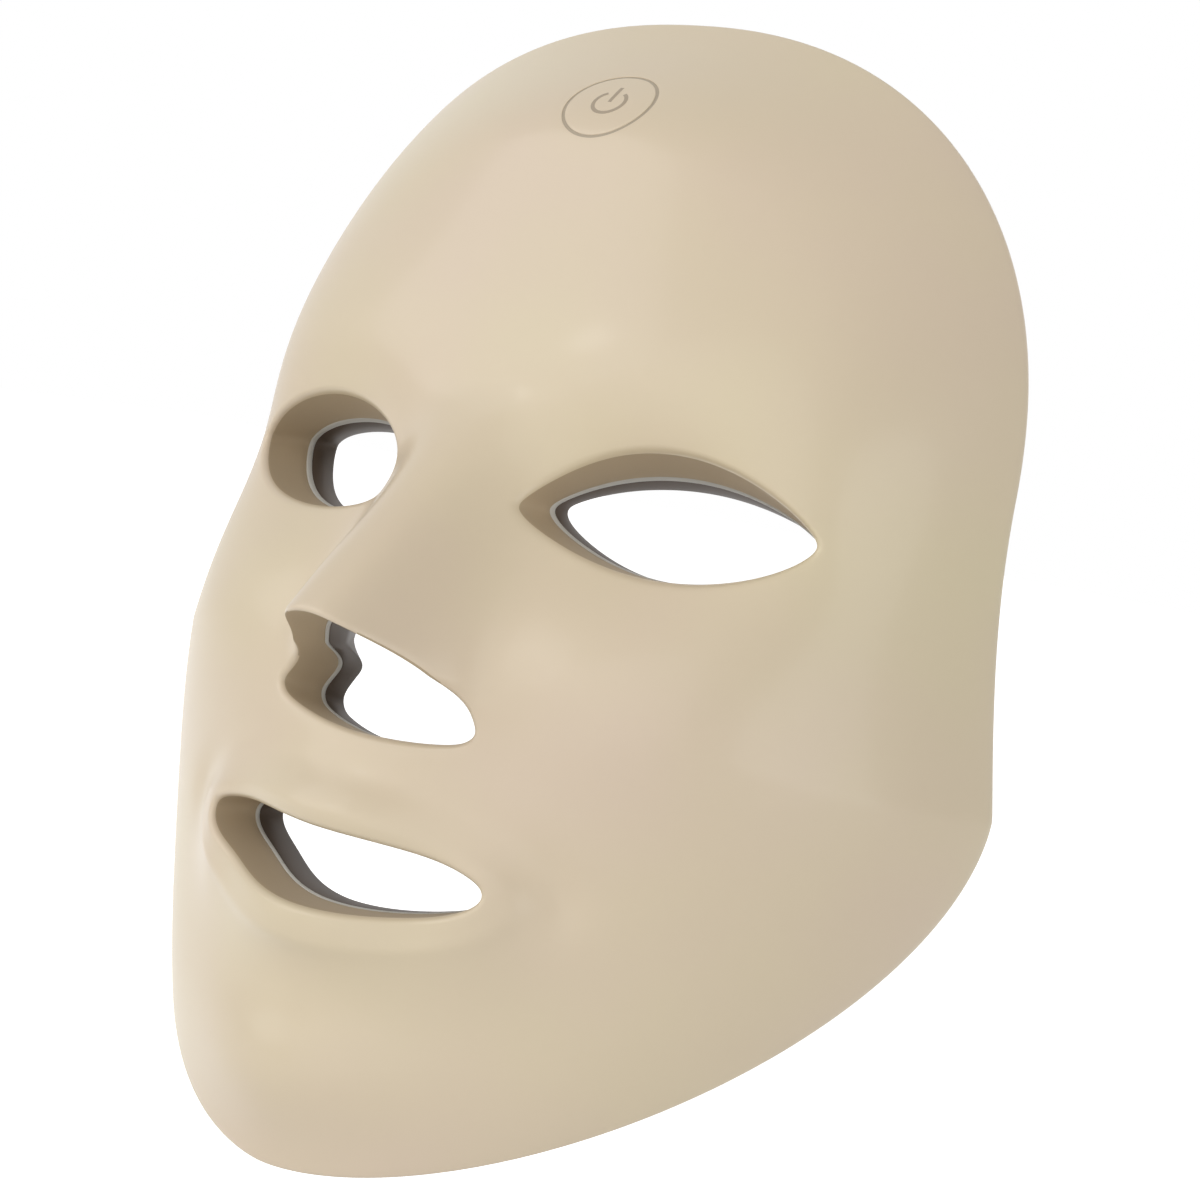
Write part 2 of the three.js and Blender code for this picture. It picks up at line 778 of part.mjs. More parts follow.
// Battery: it lies under pads of the front shell, square to the face there
const batteryFrame = faceFrame(0, batteryLevel, 0);
const batteryCorner = layerHeight(batteryFrame, batteryWidth / 2, batteryHeight / 2, shellWall);
const batteryTop = batteryCorner - batteryRoom;
const batteryBottom = batteryTop - batteryThickness;

// LED boards: each is a patch of the face, with rows of LEDs towards the wearer
function boardPatch(side, low, high, bow) {
  return (u, v) => {
    const inner = lerp(low.inner, high.inner, v ** bow);
    const outer = lerp(low.outer, high.outer, v ** bow);
    return { x: side * lerp(inner, outer, u), z: lerp(low.level, high.level, v) };
  };
}

const ledBoards = [
  {
    name: "forehead_led_board",
    place: boardPatch(1, foreheadBoardLow, foreheadBoardHigh, 2),
    columns: 6, rows: 3, ledColumns: 6, ledRows: 2,
    posts: [[0.1, 0.5], [0.3, 0.12], [0.7, 0.12], [0.9, 0.5]],
  },
  {
    name: "left_cheek_led_board",
    place: boardPatch(1, cheekBoardLow, cheekBoardHigh, 1),
    columns: 4, rows: 3, ledColumns: 2, ledRows: 3,
    posts: [[0.5, 0.25], [0.5, 0.75]],
  },
  {
    name: "right_cheek_led_board",
    place: boardPatch(-1, cheekBoardLow, cheekBoardHigh, 1),
    columns: 4, rows: 3, ledColumns: 2, ledRows: 3,
    posts: [[0.5, 0.25], [0.5, 0.75]],
  },
  {
    name: "lip_led_board",
    place: boardPatch(1, lipBoardLow, lipBoardHigh, 1),
    columns: 4, rows: 1, ledColumns: 4, ledRows: 1,
    posts: [[0.2, 0.5], [0.8, 0.5]],
  },
  {
    name: "chin_led_board",
    place: boardPatch(1, chinBoardLow, chinBoardHigh, 1),
    columns: 4, rows: 3, ledColumns: 4, ledRows: 1,
    posts: [[0.25, 0.5], [0.75, 0.5]],
  },
];

const boardNamed = (name) => ledBoards.find((board) => board.name === name);

// The point of a sheet's facets over two shares, on the sheet's side at a depth
function sheetPoint({ place, columns, rows }, u, v, depth) {
  const column = Math.floor(u * columns);
  const row = Math.floor(v * rows);
  const corner = (right, up) => {
    const { x, z } = place((column + right) / columns, (row + up) / rows);
    return layerPoint(x, z, depth);
  };
  const low = corner(0, 0).lerp(corner(1, 0), u * columns - column);
  const high = corner(0, 1).lerp(corner(1, 1), u * columns - column);
  return low.lerp(high, v * rows - row);
}

function ledBoardSolid(board) {
  const { place, columns, rows, ledColumns, ledRows } = board;
  const farDepth = ledBoardDepth + ledBoardThickness;
  const sheet = faceSheet(place, columns, rows, () => ledBoardDepth, ledBoardThickness);
  const leds = [];
  for (let row = 0; row < ledRows; row++) {
    for (let column = 0; column < ledColumns; column++) {
      const u = (column + 1 / 2) / ledColumns;
      const v = (row + 1 / 2) / ledRows;
      const { x, z } = place(u, v);
      const frame = faceFrame(x, z, farDepth).setPosition(sheetPoint(board, u, v, farDepth));
      const length = ledHeight + ledBoardThickness / 2;
      leds.push(box(ledSide, ledSide, length, 0, 0, length / 2 - ledHeight, frame));
    }
  }
  return sum([sheet, ...leds]);
}

// Round posts from inside the front shell's wall to the boards
function boardPosts() {
  return ledBoards.flatMap((board) => board.posts.map(([u, v]) => {
    const { x, z } = board.place(u, v);
    const frame = faceFrame(x, z, ledBoardDepth);
    const sheet = sheetPoint(board, u, v, ledBoardDepth).applyMatrix4(frame.clone().invert());
    const end = Math.max(sheet.z, 0) + gap;
    return rod(boardPostRadius, layerHeight(frame, 0, 0, midWall), end, 6, 0, 0, frame);
  }));
}

// A ribbon from one board's edge to another's, drawn forward of the boards on its way
function ribbon(start, startPull, endPull, end, drawForward, rows) {
  const curve = new THREE.CubicBezierCurve(start, startPull, endPull, end);
  const place = (u, v) => {
    const point = curve.getPoint(v);
    const tangent = curve.getTangent(v);
    const across = (u - 1 / 2) * ribbonWidth;
    return { x: point.x - tangent.y * across, z: point.y + tangent.x * across };
  };
  const middle = ledBoardDepth + (ledBoardThickness - ribbonThickness) / 2;
  const depthAt = (v) => middle - drawForward * Math.sin(v * Math.PI);
  return faceSheet(place, 1, rows, depthAt, ribbonThickness);
}

const edgePoint = (name, u, v, stepX, stepZ) => {
  const { x, z } = boardNamed(name).place(u, v);
  return new THREE.Vector2(x + stepX, z + stepZ);
};

function templeRibbon(side, cheekName, foreheadShare) {
  const start = edgePoint("forehead_led_board", foreheadShare, templeRibbonStartShare, side * ribbonGap, 0);
  const end = edgePoint(cheekName, 1, templeRibbonEndShare, side * ribbonGap, 0);
  const startPull = new THREE.Vector2(start.x + side * templeRibbonStartRun, start.y);
  const endPull = new THREE.Vector2(end.x + side * templeRibbonEndRun, end.y);
  return ribbon(start, startPull, endPull, end, templeRibbonForward, 8);
}

function chinRibbon(side, cheekName, chinShare) {
  const start = edgePoint(cheekName, 1 / 2, 0, 0, -ribbonGap);
  const end = edgePoint("chin_led_board", chinShare, chinRibbonEndShare, side * ribbonGap, 0);
  const startPull = new THREE.Vector2(start.x, lerp(start.y, end.y, chinRibbonPullShare));
  const endPull = new THREE.Vector2(lerp(end.x, start.x, chinRibbonPullShare), end.y);
  return ribbon(start, startPull, endPull, end, chinRibbonForward, 7);
}

function lipRibbon() {
  const start = edgePoint("lip_led_board", 1, 1 / 2, ribbonGap, 0);
  const end = edgePoint("left_cheek_led_board", 0, 0, -2 * ribbonGap, 0);
  end.y = start.y;
  const span = end.x - start.x;
  const startPull = new THREE.Vector2(start.x + span / 3, start.y);
  const endPull = new THREE.Vector2(end.x - span / 3, end.y);
  return ribbon(start, startPull, endPull, end, 0, 2);
}

// Shells

function frontShell() {
  const flanges = openings.map(({ outline }) =>
    openingRing(outline, midWall, sealFrontDepth - sealGap, bite, flangeWall));
  const bosses = screwSeats.map(({ frame, bossEnd }) =>
    rod(bossRadius, layerHeight(frame, 0, 0, midWall), bossEnd, 8, 0, 0, frame)
      .subtract(behind(rearFaceDepth - gap)));
  const bores = screwSeats.map(({ frame, floor, bossEnd }) =>
    rod(screwRadius + gap, floor + screwLength, bossEnd - bite, 6, 0, 0, frame));
  const controlPosts = [-1, 1].map((side) => {
    const x = side * controlPostX;
    const from = layerHeight(buttonFrame, x, controlY, midWall);
    return rod(controlPostRadius, from, boardTop + gap, 8, x, controlY, buttonFrame);
  });
  const batteryPads = [-1, 1].map((side) => {
    const x = side * batteryPadX;
    const from = layerHeight(batteryFrame, x, 0, midWall);
    return rod(batteryPadRadius, from, batteryTop + gap, 8, x, 0, batteryFrame);
  });
  const collarTop = layerHeight(buttonFrame, 0, 0, midWall);
  const collarEnd = flangeTop + gap;
  const collar = rod(capFlangeRadius, collarTop, collarEnd, 24, 0, 0, buttonFrame);
  const buttonHole = rod(capRadius + gap, overrun, collarEnd - bite, 24, 0, 0, buttonFrame);
  const clearEnd = flangeBottom - buttonTravel - gap;
  const flangeRoom = rod(capFlangeRadius + gap, collarEnd, clearEnd, 24, 0, 0, buttonFrame);
  const wall = layerShell(0, shellWall, outerRings, innerRings);
  return sum([wall, collar, ...flanges, ...bosses, ...boardPosts(), ...controlPosts, ...batteryPads])
    .subtract(sum([cutters, buttonHole, flangeRoom, ...bores]));
}

function rearShell() {
  const lips = openings.map(({ outline }) =>
    openingRing(outline, lipFrontDepth, tunnelDepth, bite, lipWall));
  const pads = screwSeats.map(({ frame, back, padTop }) =>
    rod(screwPadRadius, back - bite, padTop, 8, 0, 0, frame).subtract(behind(rearBackDepth)));
  const sinks = screwSeats.map(({ frame, back, floor }) =>
    rod(screwHeadRadius + gap, floor, back - screwPadRadius, 8, 0, 0, frame));
  const holes = screwSeats.map(({ frame, floor }) =>
    rod(screwRadius + gap, floor - bite, floor + screwLength, 6, 0, 0, frame));
  const slotWidth = socketWidth + 2 * gap;
  const slotHeight = socketHeight + 2 * gap;
  const slot = roundBar(slotWidth, slotHeight, socketFront, -overrun, socketY, buttonFrame);
  const sealRoom = sum(openings.map(({ outline }) =>
    openingRing(outline, lipFrontDepth, sealFrontDepth - sealRoomLead, bite, lipWall)));
  const wall = layerShell(rearFaceDepth, rearBackDepth, innerRings, innerRings).subtract(sealRoom);
  return sum([wall, ...lips, ...pads]).subtract(sum([cutters, slot, ...sinks, ...holes]));
}

// Button, switch and control board

function powerButton() {
  const barrel = rod(capRadius, overrun / 2, flangeTop, 24, 0, 0, buttonFrame);
  const flange = rod(capFlangeRadius, flangeTop, flangeBottom, 24, 0, 0, buttonFrame);
  const post = rod(capPostRadius, flangeBottom + bite / 2, postBottom, 8, 0, 0, buttonFrame);
  return sum([barrel.intersect(behind(0)), flange, post]);
}

function tactSwitch() {
  const middle = (switchTop + switchBottom) / 2;
  const body = box(switchSide, switchSide, switchHeight, 0, 0, middle, buttonFrame);
  const boreEnd = plungerTop - plungerProud - plungerSunk - buttonTravel - gap;
  return body.subtract(rod(plungerRadius + gap, switchTop + bite, boreEnd, 12, 0, 0, buttonFrame));
}

function switchPlunger() {
  const end = switchTop - plungerSunk;
  return rod(plungerRadius, plungerTop, end, 12, 0, 0, buttonFrame);
}

function controlBoard() {
  const middle = (boardTop + boardBottom) / 2;
  const board = box(controlWidth, controlHeight, boardThickness, 0, controlY, middle, buttonFrame);
  const slotWidth = socketWidth + 2 * gap;
  const slotHeight = socketHeight + 2 * gap;
  const above = boardTop + bite;
  return board.subtract(roundBar(slotWidth, slotHeight, above, boardBottom - bite, socketY, buttonFrame));
}

// A bar with round ends along the frame's z axis
function roundBar(width, height, from, to, y, frame) {
  const half = (width - height) / 2;
  const radius = height / 2;
  const shape = new THREE.Shape();
  shape.absarc(half, 0, radius, -Math.PI / 2, Math.PI / 2, false);
  shape.absarc(-half, 0, radius, Math.PI / 2, (3 * Math.PI) / 2, false);
  const settings = { depth: Math.abs(to - from), bevelEnabled: false, curveSegments: 3 };
  const geometry = new THREE.ExtrudeGeometry(shape, settings);
  geometry.translate(0, y, Math.min(from, to));
  return toSolid(geometry.applyMatrix4(frame));
}

function chargingSocket() {
  const can = roundBar(socketWidth, socketHeight, socketFront, socketBack, socketY, buttonFrame);
  const mouthWidth = socketWidth - 2 * socketWall;
  const mouthHeight = socketHeight - 2 * socketWall;
  const floor = socketFront - bite;
  const mouth = roundBar(mouthWidth, mouthHeight, floor, socketBack - bite, socketY, buttonFrame);
  const tongueLength = floor - socketBack;
  const tongueMiddle = socketBack + tongueLength / 2 + bite / 2;
  const tongue = box(tongueWidth, tongueThickness, tongueLength, 0, socketY, tongueMiddle, buttonFrame);
  return can.subtract(mouth).add(tongue);
}

// A connector that carries the LED supply from the control board to the forehead board
function boardConnector() {
  const y = controlY - controlHeight / 2 + connectorDepth;
  const from = boardBottom - gap;
  const corners = [-1, 1].map((side) =>
    layerHeight(buttonFrame, side * connectorWidth / 2, y + connectorDepth / 2, ledBoardDepth));
  const to = Math.max(...corners) + 2 * gap;
  return box(connectorWidth, connectorDepth, from - to, 0, y, (from + to) / 2, buttonFrame);
}

function battery() {
  const middle = (batteryTop + batteryBottom) / 2;
  return box(batteryWidth, batteryHeight, batteryThickness, 0, 0, middle, batteryFrame);
}

// Two wires side by side, from the battery's upper edge to the control board's lower edge
function batteryLead() {
  const start = new THREE.Vector3(batteryPadX, batteryHeight / 2 + gap, batteryBottom + leadThickness);
  const end = new THREE.Vector3(batteryPadX, controlY - controlHeight / 2 - gap, boardBottom);
  start.applyMatrix4(batteryFrame);
  end.applyMatrix4(buttonFrame);
  const middle = start.clone().add(end).divideScalar(2);
  middle.y += leadSlack;
  const path = new THREE.CatmullRomCurve3([start, middle, end]);
  const section = new THREE.Shape();
  section.absarc(0, 0, leadThickness / 2, 0, 2 * Math.PI, false);
  const settings = { extrudePath: path, steps: 4, bevelEnabled: false, curveSegments: 4 };
  return toSolid(new THREE.ExtrudeGeometry(section, settings));
}

// Screws and strap brackets

function caseScrew({ frame, back, floor }) {
  const under = floor - gap;
  const tip = under + screwLength;
  const profile = [
    new THREE.Vector2(0, back),
    new THREE.Vector2(screwHeadRadius, back),
    new THREE.Vector2(screwHeadRadius, under),
    new THREE.Vector2(screwRadius, under),
    new THREE.Vector2(screwRadius, tip - screwRadius),
    new THREE.Vector2(0, tip),
  ];
  const geometry = new THREE.LatheGeometry(profile, 8);
  geometry.rotateX(Math.PI / 2);
  return toSolid(geometry.applyMatrix4(frame));
}

function strapBracket(side) {
  const world = new THREE.Matrix4();
  const length = strapOpening + 2 * strapPostSide;
  const bar = box(strapBarWidth, strapBarDepth, length, side * strapBarX, strapBarY, strapLevel, world);
  const innerX = strapBarX - strapBarWidth / 2;
  const postLength = jawHalfWidth - innerX;
  const postX = side * (innerX + postLength / 2);
  const posts = [-1, 1].map((end) => {
    const z = strapLevel + (end * (strapOpening + strapPostSide)) / 2;
    return box(postLength, strapBarDepth, strapPostSide, postX, strapBarY, z, world);
  });
  return sum([bar, ...posts]).intersect(behind(rearBackDepth + 2 * gap));
}

// The assembly

addPiece("front_shell", frontShell(), beigePlastic);
addPiece("rear_shell", rearShell(), smokePlastic);
for (const { name, outline } of openings) {
  addPiece(`${name}_seal`, sealRing(outline), sealRubber);
}
addPiece("power_button", powerButton(), beigePlastic);
addPiece("switch_plunger", switchPlunger(), blackPlastic);
addPiece("tact_switch", tactSwitch(), blackPlastic);
addPiece("control_board", controlBoard(), greenBoard);
addPiece("charging_socket", chargingSocket(), steel);
addPiece("board_connector", boardConnector(), whiteBoard);
addPiece("battery", battery(), cellWrap);
addPiece("battery_lead", batteryLead(), blackPlastic);
for (const board of ledBoards) {
  addPiece(board.name, ledBoardSolid(board), whiteBoard);
}
addPiece("left_temple_ribbon", templeRibbon(1, "left_cheek_led_board", 1), amberRibbon);
addPiece("right_temple_ribbon", templeRibbon(-1, "right_cheek_led_board", 0), amberRibbon);
addPiece("left_chin_ribbon", chinRibbon(1, "left_cheek_led_board", 1), amberRibbon);
addPiece("right_chin_ribbon", chinRibbon(-1, "right_cheek_led_board", 0), amberRibbon);
addPiece("lip_ribbon", lipRibbon(), amberRibbon);
screwSeats.forEach((seat, index) => {
  addPiece(`case_screw_${index + 1}`, caseScrew(seat), steel);
});
addPiece("left_strap_bracket", strapBracket(1), smokePlastic);
addPiece("right_strap_bracket", strapBracket(-1), smokePlastic);

export default mask;
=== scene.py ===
"""Dresses the LED face mask: moulded shells, seals, button, light boards and a plain studio."""

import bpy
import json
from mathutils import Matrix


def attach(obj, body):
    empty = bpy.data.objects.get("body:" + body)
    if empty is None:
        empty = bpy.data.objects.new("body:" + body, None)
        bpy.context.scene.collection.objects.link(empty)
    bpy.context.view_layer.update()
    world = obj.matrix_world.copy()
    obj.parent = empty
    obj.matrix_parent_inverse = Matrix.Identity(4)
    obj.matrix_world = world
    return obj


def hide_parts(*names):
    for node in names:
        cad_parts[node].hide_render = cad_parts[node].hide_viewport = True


bl_info = {
    "name": "LED Face Mask",
    "version": (1, 0, 0),
    "blender": (4, 5, 0),
    "location": "View3D > Sidebar > Face Mask",
    "description": "Moulded shells, seals, power button, light boards and a plain studio for the face mask",
    "category": "Add Mesh",
}

import json
import math

import bmesh
import bpy
import numpy as np
from bpy.props import FloatProperty, FloatVectorProperty, PointerProperty
from mathutils import Matrix, Vector, geometry, kdtree

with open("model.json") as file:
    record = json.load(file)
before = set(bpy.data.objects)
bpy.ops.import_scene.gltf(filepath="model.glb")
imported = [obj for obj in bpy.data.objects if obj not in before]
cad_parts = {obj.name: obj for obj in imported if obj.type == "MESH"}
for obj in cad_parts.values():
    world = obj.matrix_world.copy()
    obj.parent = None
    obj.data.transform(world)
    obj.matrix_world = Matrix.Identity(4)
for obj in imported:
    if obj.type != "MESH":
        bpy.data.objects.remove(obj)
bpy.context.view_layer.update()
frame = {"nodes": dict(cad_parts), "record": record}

MM = 0.001

# The face's axes: x to the wearer's left, y backwards, z up; lengths are in millimetres

# Outline of the face, seen from the front
TEMPLE_HALF_WIDTH = 86.6
JAW_HALF_WIDTH = 93.9
CROWN_TOP = 112.5
CHIN_BOTTOM = -112.7
TEMPLE_LEVEL = 27.7
JAW_LEVEL = -31.5
FACE_CENTRE = -9.2
CROWN_ROUNDNESS = 2.27
JAW_FALL_POWER = 1.89
JAW_WIDTH_POWER = 1.77

# How far the edge runs forward of the ears, and how the face domes
CROWN_FORWARD = 2.6
CHIN_FORWARD = 82.1
CROWN_FORWARD_POWER = 1.76
CHIN_FORWARD_POWER = 1.71
DOME_DEPTH = 66.0
DOME_LEAN = -0.18
SIDE_FULLNESS = 0.948
SIDE_POWER = 2.79
HEIGHT_FULLNESS = 0.911
HEIGHT_POWER = 1.845

# Swellings and hollows: x, z, rise, spread in x, spread in z; those with an x stand in pairs
SWELLINGS = {
    "forehead": (0.0, 62.0, 3.4, 38.0, 26.0),
    "crown": (0.0, 100.0, 8.4, 45.0, 18.0),
    "muzzle": (0.0, -55.0, 8.2, 20.0, 20.0),
    "upper lip": (0.0, -44.5, 2.2, 19.0, 3.6),
    "lower lip": (0.0, -67.0, 1.8, 17.0, 4.0),
    "lip corner": (31.0, -57.5, 3.0, 5.5, 7.5),
    "chin fold": (0.0, -81.0, -1.8, 22.0, 7.0),
    "chin": (0.0, -103.0, 6.0, 20.0, 14.0),
    "cheek": (46.0, -14.0, 3.3, 20.0, 18.0),
    "socket": (36.4, 13.0, -12.3, 17.0, 12.0),
    "temple": (70.0, 30.0, 1.5, 16.0, 30.0),
    "jowl": (45.0, -80.0, -1.1, 22.0, 25.0),
}
SWELLING_FADE_SHARE = 0.25

# Nose
NOSE_ROOT_LEVEL = 34.2
NOSE_END_LEVEL = -19.3
NOSE_UNDERSIDE = 7.4
NOSE_HEIGHT = 31.2
NOSE_SPREAD = 11.4
NOSE_ROOT_SPREAD = 8.15
NOSE_RISE_POWER = 0.714
NOSE_ROOT_ROUNDING = 0.45
NOSE_FLANK_POWER = 2.85
NOSE_ROOT_POWER = 2.0
NOSE_RELIEF = 7.0

# Depths of the walls below the outer face, the gap left between parts, and the distance from the
# rim within which a layer sinks to its depth
SHELL_WALL = 2.4
TUNNEL_DEPTHS = (SHELL_WALL, 4.2, 6.2, 8.2)
FLANGE_MIDDLE_DEPTH = 6.0
FLANGE_END_DEPTH = 10.6
CAVITY_DEPTH = 11.0
REAR_FACE_DEPTH = 13.4
REAR_BACK_DEPTH = 15.4
TUNNEL_DEPTH = 16.4
WALL_GAP = 0.3
RIM_BLEND = 16.0

# Depths at which the beads and the dark lips behind them start, and how far a bead laps its lip
SEAL_FRONT_DEPTH = 10.4
SEAL_LAP = 0.15
EYE_LIP_DEPTH = 11.75
LOW_LIP_DEPTH = 11.25
LIP_MIDDLE_DEPTH = 14.4

# Openings, with the flanges, lips and beads round them
EYE_X = TEMPLE_HALF_WIDTH * 0.4665
EYE_LEVEL = 13.0
EYE_HALF_WIDTH = TEMPLE_HALF_WIDTH * 0.2945
EYE_UPPER_HEIGHT = 13.1
EYE_LOWER_HEIGHT = 9.7
EYE_TILT = 2.5
EYE_UPPER_SKEW = -0.083
EYE_LOWER_SKEW = 0.109
EYE_UPPER_POWER = 1.47
EYE_LOWER_POWER = 1.32
EYE_UPPER_DRAW = 6.7
EYE_LOWER_FLARE = 1.2
EYE_OUTER_DRAW = 6.0
NOSTRIL_HALF_WIDTH = JAW_HALF_WIDTH * 0.253
NOSTRIL_TOP = -11.3
NOSTRIL_BASE = -30.2
NOSTRIL_FALL_SHARE = 0.906
NOSTRIL_FALL_POWER = 2.03
NOSTRIL_SILL = 4.4
NOSTRIL_SLOPE_SHARE = 0.98
NOSTRIL_CORNER_ANGLE = -0.45
NOSTRIL_LIFT = 1.9
NOSTRIL_SIDE_DRAW = 3.4
NOSTRIL_TOP_DRAW = 0.6
NOSTRIL_BASE_DROP = 3.5
MOUTH_HALF_WIDTH = JAW_HALF_WIDTH * 0.3428
MOUTH_LEVEL = -56.7
MOUTH_HALF_HEIGHT = 6.86
MOUTH_RISE = 1.56
MOUTH_POWER = 2.15
MOUTH_SIDE_DRAW = 4.0
MOUTH_DROP = 1.5
FLANGE_WALL = 1.6
LIP_WALL = 3.0
LIP_SEAM = 0.02
SEAL_WIDTH = 2.4
SEAL_TUCK = 0.1
SEAL_CROWN = 0.3

# Rounded edges; a middle is where the point between the two ends of a rounding lies
RIM_TURN_SHARE = 0.9
RIM_BACK_EDGE = 0.3
REAR_RIM_ROUNDING = 0.5
FLANGE_ROUNDING = 0.35
FLANGE_ROUNDING_MIDDLE = 0.1
LIP_ROUNDING = 0.4
LIP_ROUNDING_MIDDLE = (0.1, 0.12)
LIP_BACK_ROUNDING = 0.5
LIP_BACK_ROUNDING_MIDDLE = (0.12, 0.15)
SEAT_EDGE = 0.25

# The moulded border round the lips: half width, level and half height of its line, and its relief
LIP_BORDER = (37.0, -58.2, 11.6)
LIP_BORDER_RISE = 0.42
LIP_BORDER_SPREAD = 1.1
LIP_BORDER_STEP = 6

# The shallow groove outside it, which fades out below the mouth's level
LIP_GROOVE_OFFSET = 6.0
LIP_GROOVE_DEPTH = 1.2
LIP_GROOVE_SPREAD = 3.0
LIP_GROOVE_FADE = 6.0

# Where the texture and the painted shade of the opening walls start, how many loops mark them, and how near
# they catch
WALL_TEXTURE_SHADE_START = 1.4
WALL_TEXTURE_SHADE_LOOPS = 24
WALL_TEXTURE_SHADE_REACH = 0.55

# Button, its ring and its printed sign, whose gap is in degrees to each side
BUTTON_LEVEL = 90.6
CAP_RADIUS = 9.2
CAP_MIDDLE_RADIUS = 0.8
CAP_RINGS = 12
CAP_FLANGE_RADIUS = 10.3
CAP_FLANGE_THICKNESS = 0.8
CAP_POST_RADIUS = 2.0
CAP_POST_LENGTH = 0.4
COLLAR_GAP = 0.2
RING_WIDTH = 0.62
RING_DEPTH = 0.7
RING_GAP = 0.02
RING_SINK = 0.12
MARK_RADIUS = 3.4
MARK_HALF_LINE = 0.4
MARK_HALF_GAP = 34
MARK_BAR_LENGTH = 5.1
MARK_FILM_LOW = -0.05
MARK_FILM_TOP = 0.03

# Charging socket
SOCKET_WIDTH = 9.0
SOCKET_HEIGHT = 3.2
SOCKET_LENGTH = 8.4
SOCKET_Y = -7.0
SOCKET_WALL = 0.3
SOCKET_FLOOR = 1.0
SOCKET_ROUNDING = 0.498 * SOCKET_HEIGHT
SOCKET_EDGE_RISE = 1
TONGUE_WIDTH = 6.6
TONGUE_THICKNESS = 0.7
TONGUE_LENGTH = SOCKET_LENGTH - 2
TONGUE_START = 1.2
TONGUE_EDGE = 0.12

# Screws
SCREW_RADIUS = 1.1
SCREW_LENGTH = 6.0
SCREW_HEAD_RADIUS = 2.3
SCREW_HEAD_HEIGHT = 1.4
SCREW_HEAD_ROUNDING = 0.45
SCREW_PAD = 1.2
SCREW_PAD_RADIUS = 4.0
SCREW_PAD_RISE = 0.02
RECESS_LENGTH = 2.7
RECESS_WIDTH = 0.6
RECESS_HEIGHT = 1.5
RECESS_TAPER = 0.55
UPPER_SCREW = (TEMPLE_HALF_WIDTH * 0.5774, CROWN_TOP - 28.5)
LOWER_SCREW = (JAW_HALF_WIDTH * 0.3834, CHIN_BOTTOM + 24.7)
SCREW_PLACES = tuple((side * x, z) for x, z in (UPPER_SCREW, LOWER_SCREW) for side in (1, -1))

# Strap brackets
STRAP_BAR_X = JAW_HALF_WIDTH - 23.4
STRAP_BAR_Y = -8.0
STRAP_LEVEL = -18.0
STRAP_BAR_WIDTH = 3.0
STRAP_BAR_DEPTH = 4.0
STRAP_OPENING = 28.0
STRAP_POST_SIDE = 4.0
STRAP_FOOT_START = 1.5
STRAP_FOOT_LENGTH = 2.7
STRAP_FOOT_FLARE = (1, 1.3, 1.5)
STRAP_PICK_ACROSS = 0.1
STRAP_PICK_UP = 1
STRAP_SEARCH_END = JAW_HALF_WIDTH - 5
STRAP_SEARCH_STEPS = 400

# LED boards: side, inner x, outer x and level at foot and head, how the ends bow, columns, rows
LED_BOARD_DEPTH = 10.4
LED_BOARD_THICKNESS = 0.8
LED_HEIGHT = 0.7
CHEEK_FOOT = (MOUTH_HALF_WIDTH + 3.8, JAW_HALF_WIDTH - 29.9, -46.0)
CHEEK_HEAD = (NOSTRIL_HALF_WIDTH + 9.24, TEMPLE_HALF_WIDTH - 18.6, -5.0)
LED_BOARDS = {
    "forehead_led_board": (1, (-62.0, 62.0, 35.0), (-52.0, 52.0, 74.0), 2, 10, 4),
    "left_cheek_led_board": (1, CHEEK_FOOT, CHEEK_HEAD, 1, 4, 5),
    "right_cheek_led_board": (-1, CHEEK_FOOT, CHEEK_HEAD, 1, 4, 5),
    "lip_led_board": (1, (-24.0, 24.0, -46.3), (-24.0, 24.0, -39.3), 1, 6, 1),
    "chin_led_board": (1, (-24.98, 24.98, -90.0), (-27.0, 27.0, -69.0), 1, 6, 3),
}
LED_BOARD_GRID = (30, 12)
LED_SUNK = 0.2
LED_EDGE = 0.18
LENS_SHARE = 0.36
LENS_SUNK = 0.1
LENS_HEIGHT = 0.25
LENS_EDGE = 0.2
LENS_STATIONS = 16

# Points round each kind of loop, and distances between the points of the skins that hardly show
RIM_STATIONS = 420
FLANGE_TURN_STATIONS = 7
OPENING_STATIONS = 240
ROUND_STATIONS = 120
FLANGE_STATIONS = 42
SEAT_STATIONS = 48
SLOT_STATIONS = 64
SEAL_STATIONS = 11
MARK_RING_STATIONS = 60
MARK_BAR_STATIONS = 8
TRACE_STATIONS = 1440
NOSE_TRACE_STATIONS = 200
NOSE_WING_STATIONS = 42
SHELL_BACK_SPACING = 3.5
REAR_FACE_SPACING = 3.0
REAR_BACK_SPACING = 1.5
SKIN_BORDER = 0.4
SKIN_CLEAR_SHARE = 0.6

# Steps and limits of the searches, and tolerances
HALVINGS = 40
TABLE_STATIONS = 7201
SLOPE_REACH = 0.3
LOWEST_HEIGHT = -60.0
HIGHEST_HEIGHT = 30.0
SKIN_TOLERANCE = 0.5
PICK_TOLERANCE = 0.01
MERGE_DISTANCE = 0.002
TRIANGLE_TOLERANCE = 1e-5

# The kind of triangulation that fills only what the outlines close in
KEEP_INSIDE = 1

# How squarely a face has to look along an axis to be picked: 1 is straight along it
FACING = 0.9

# Angles in degrees past which an edge is sharp
SHARP_ANGLE = 35
SMOOTH_ANGLE = 40
BEAD_SMOOTH_ANGLE = 50

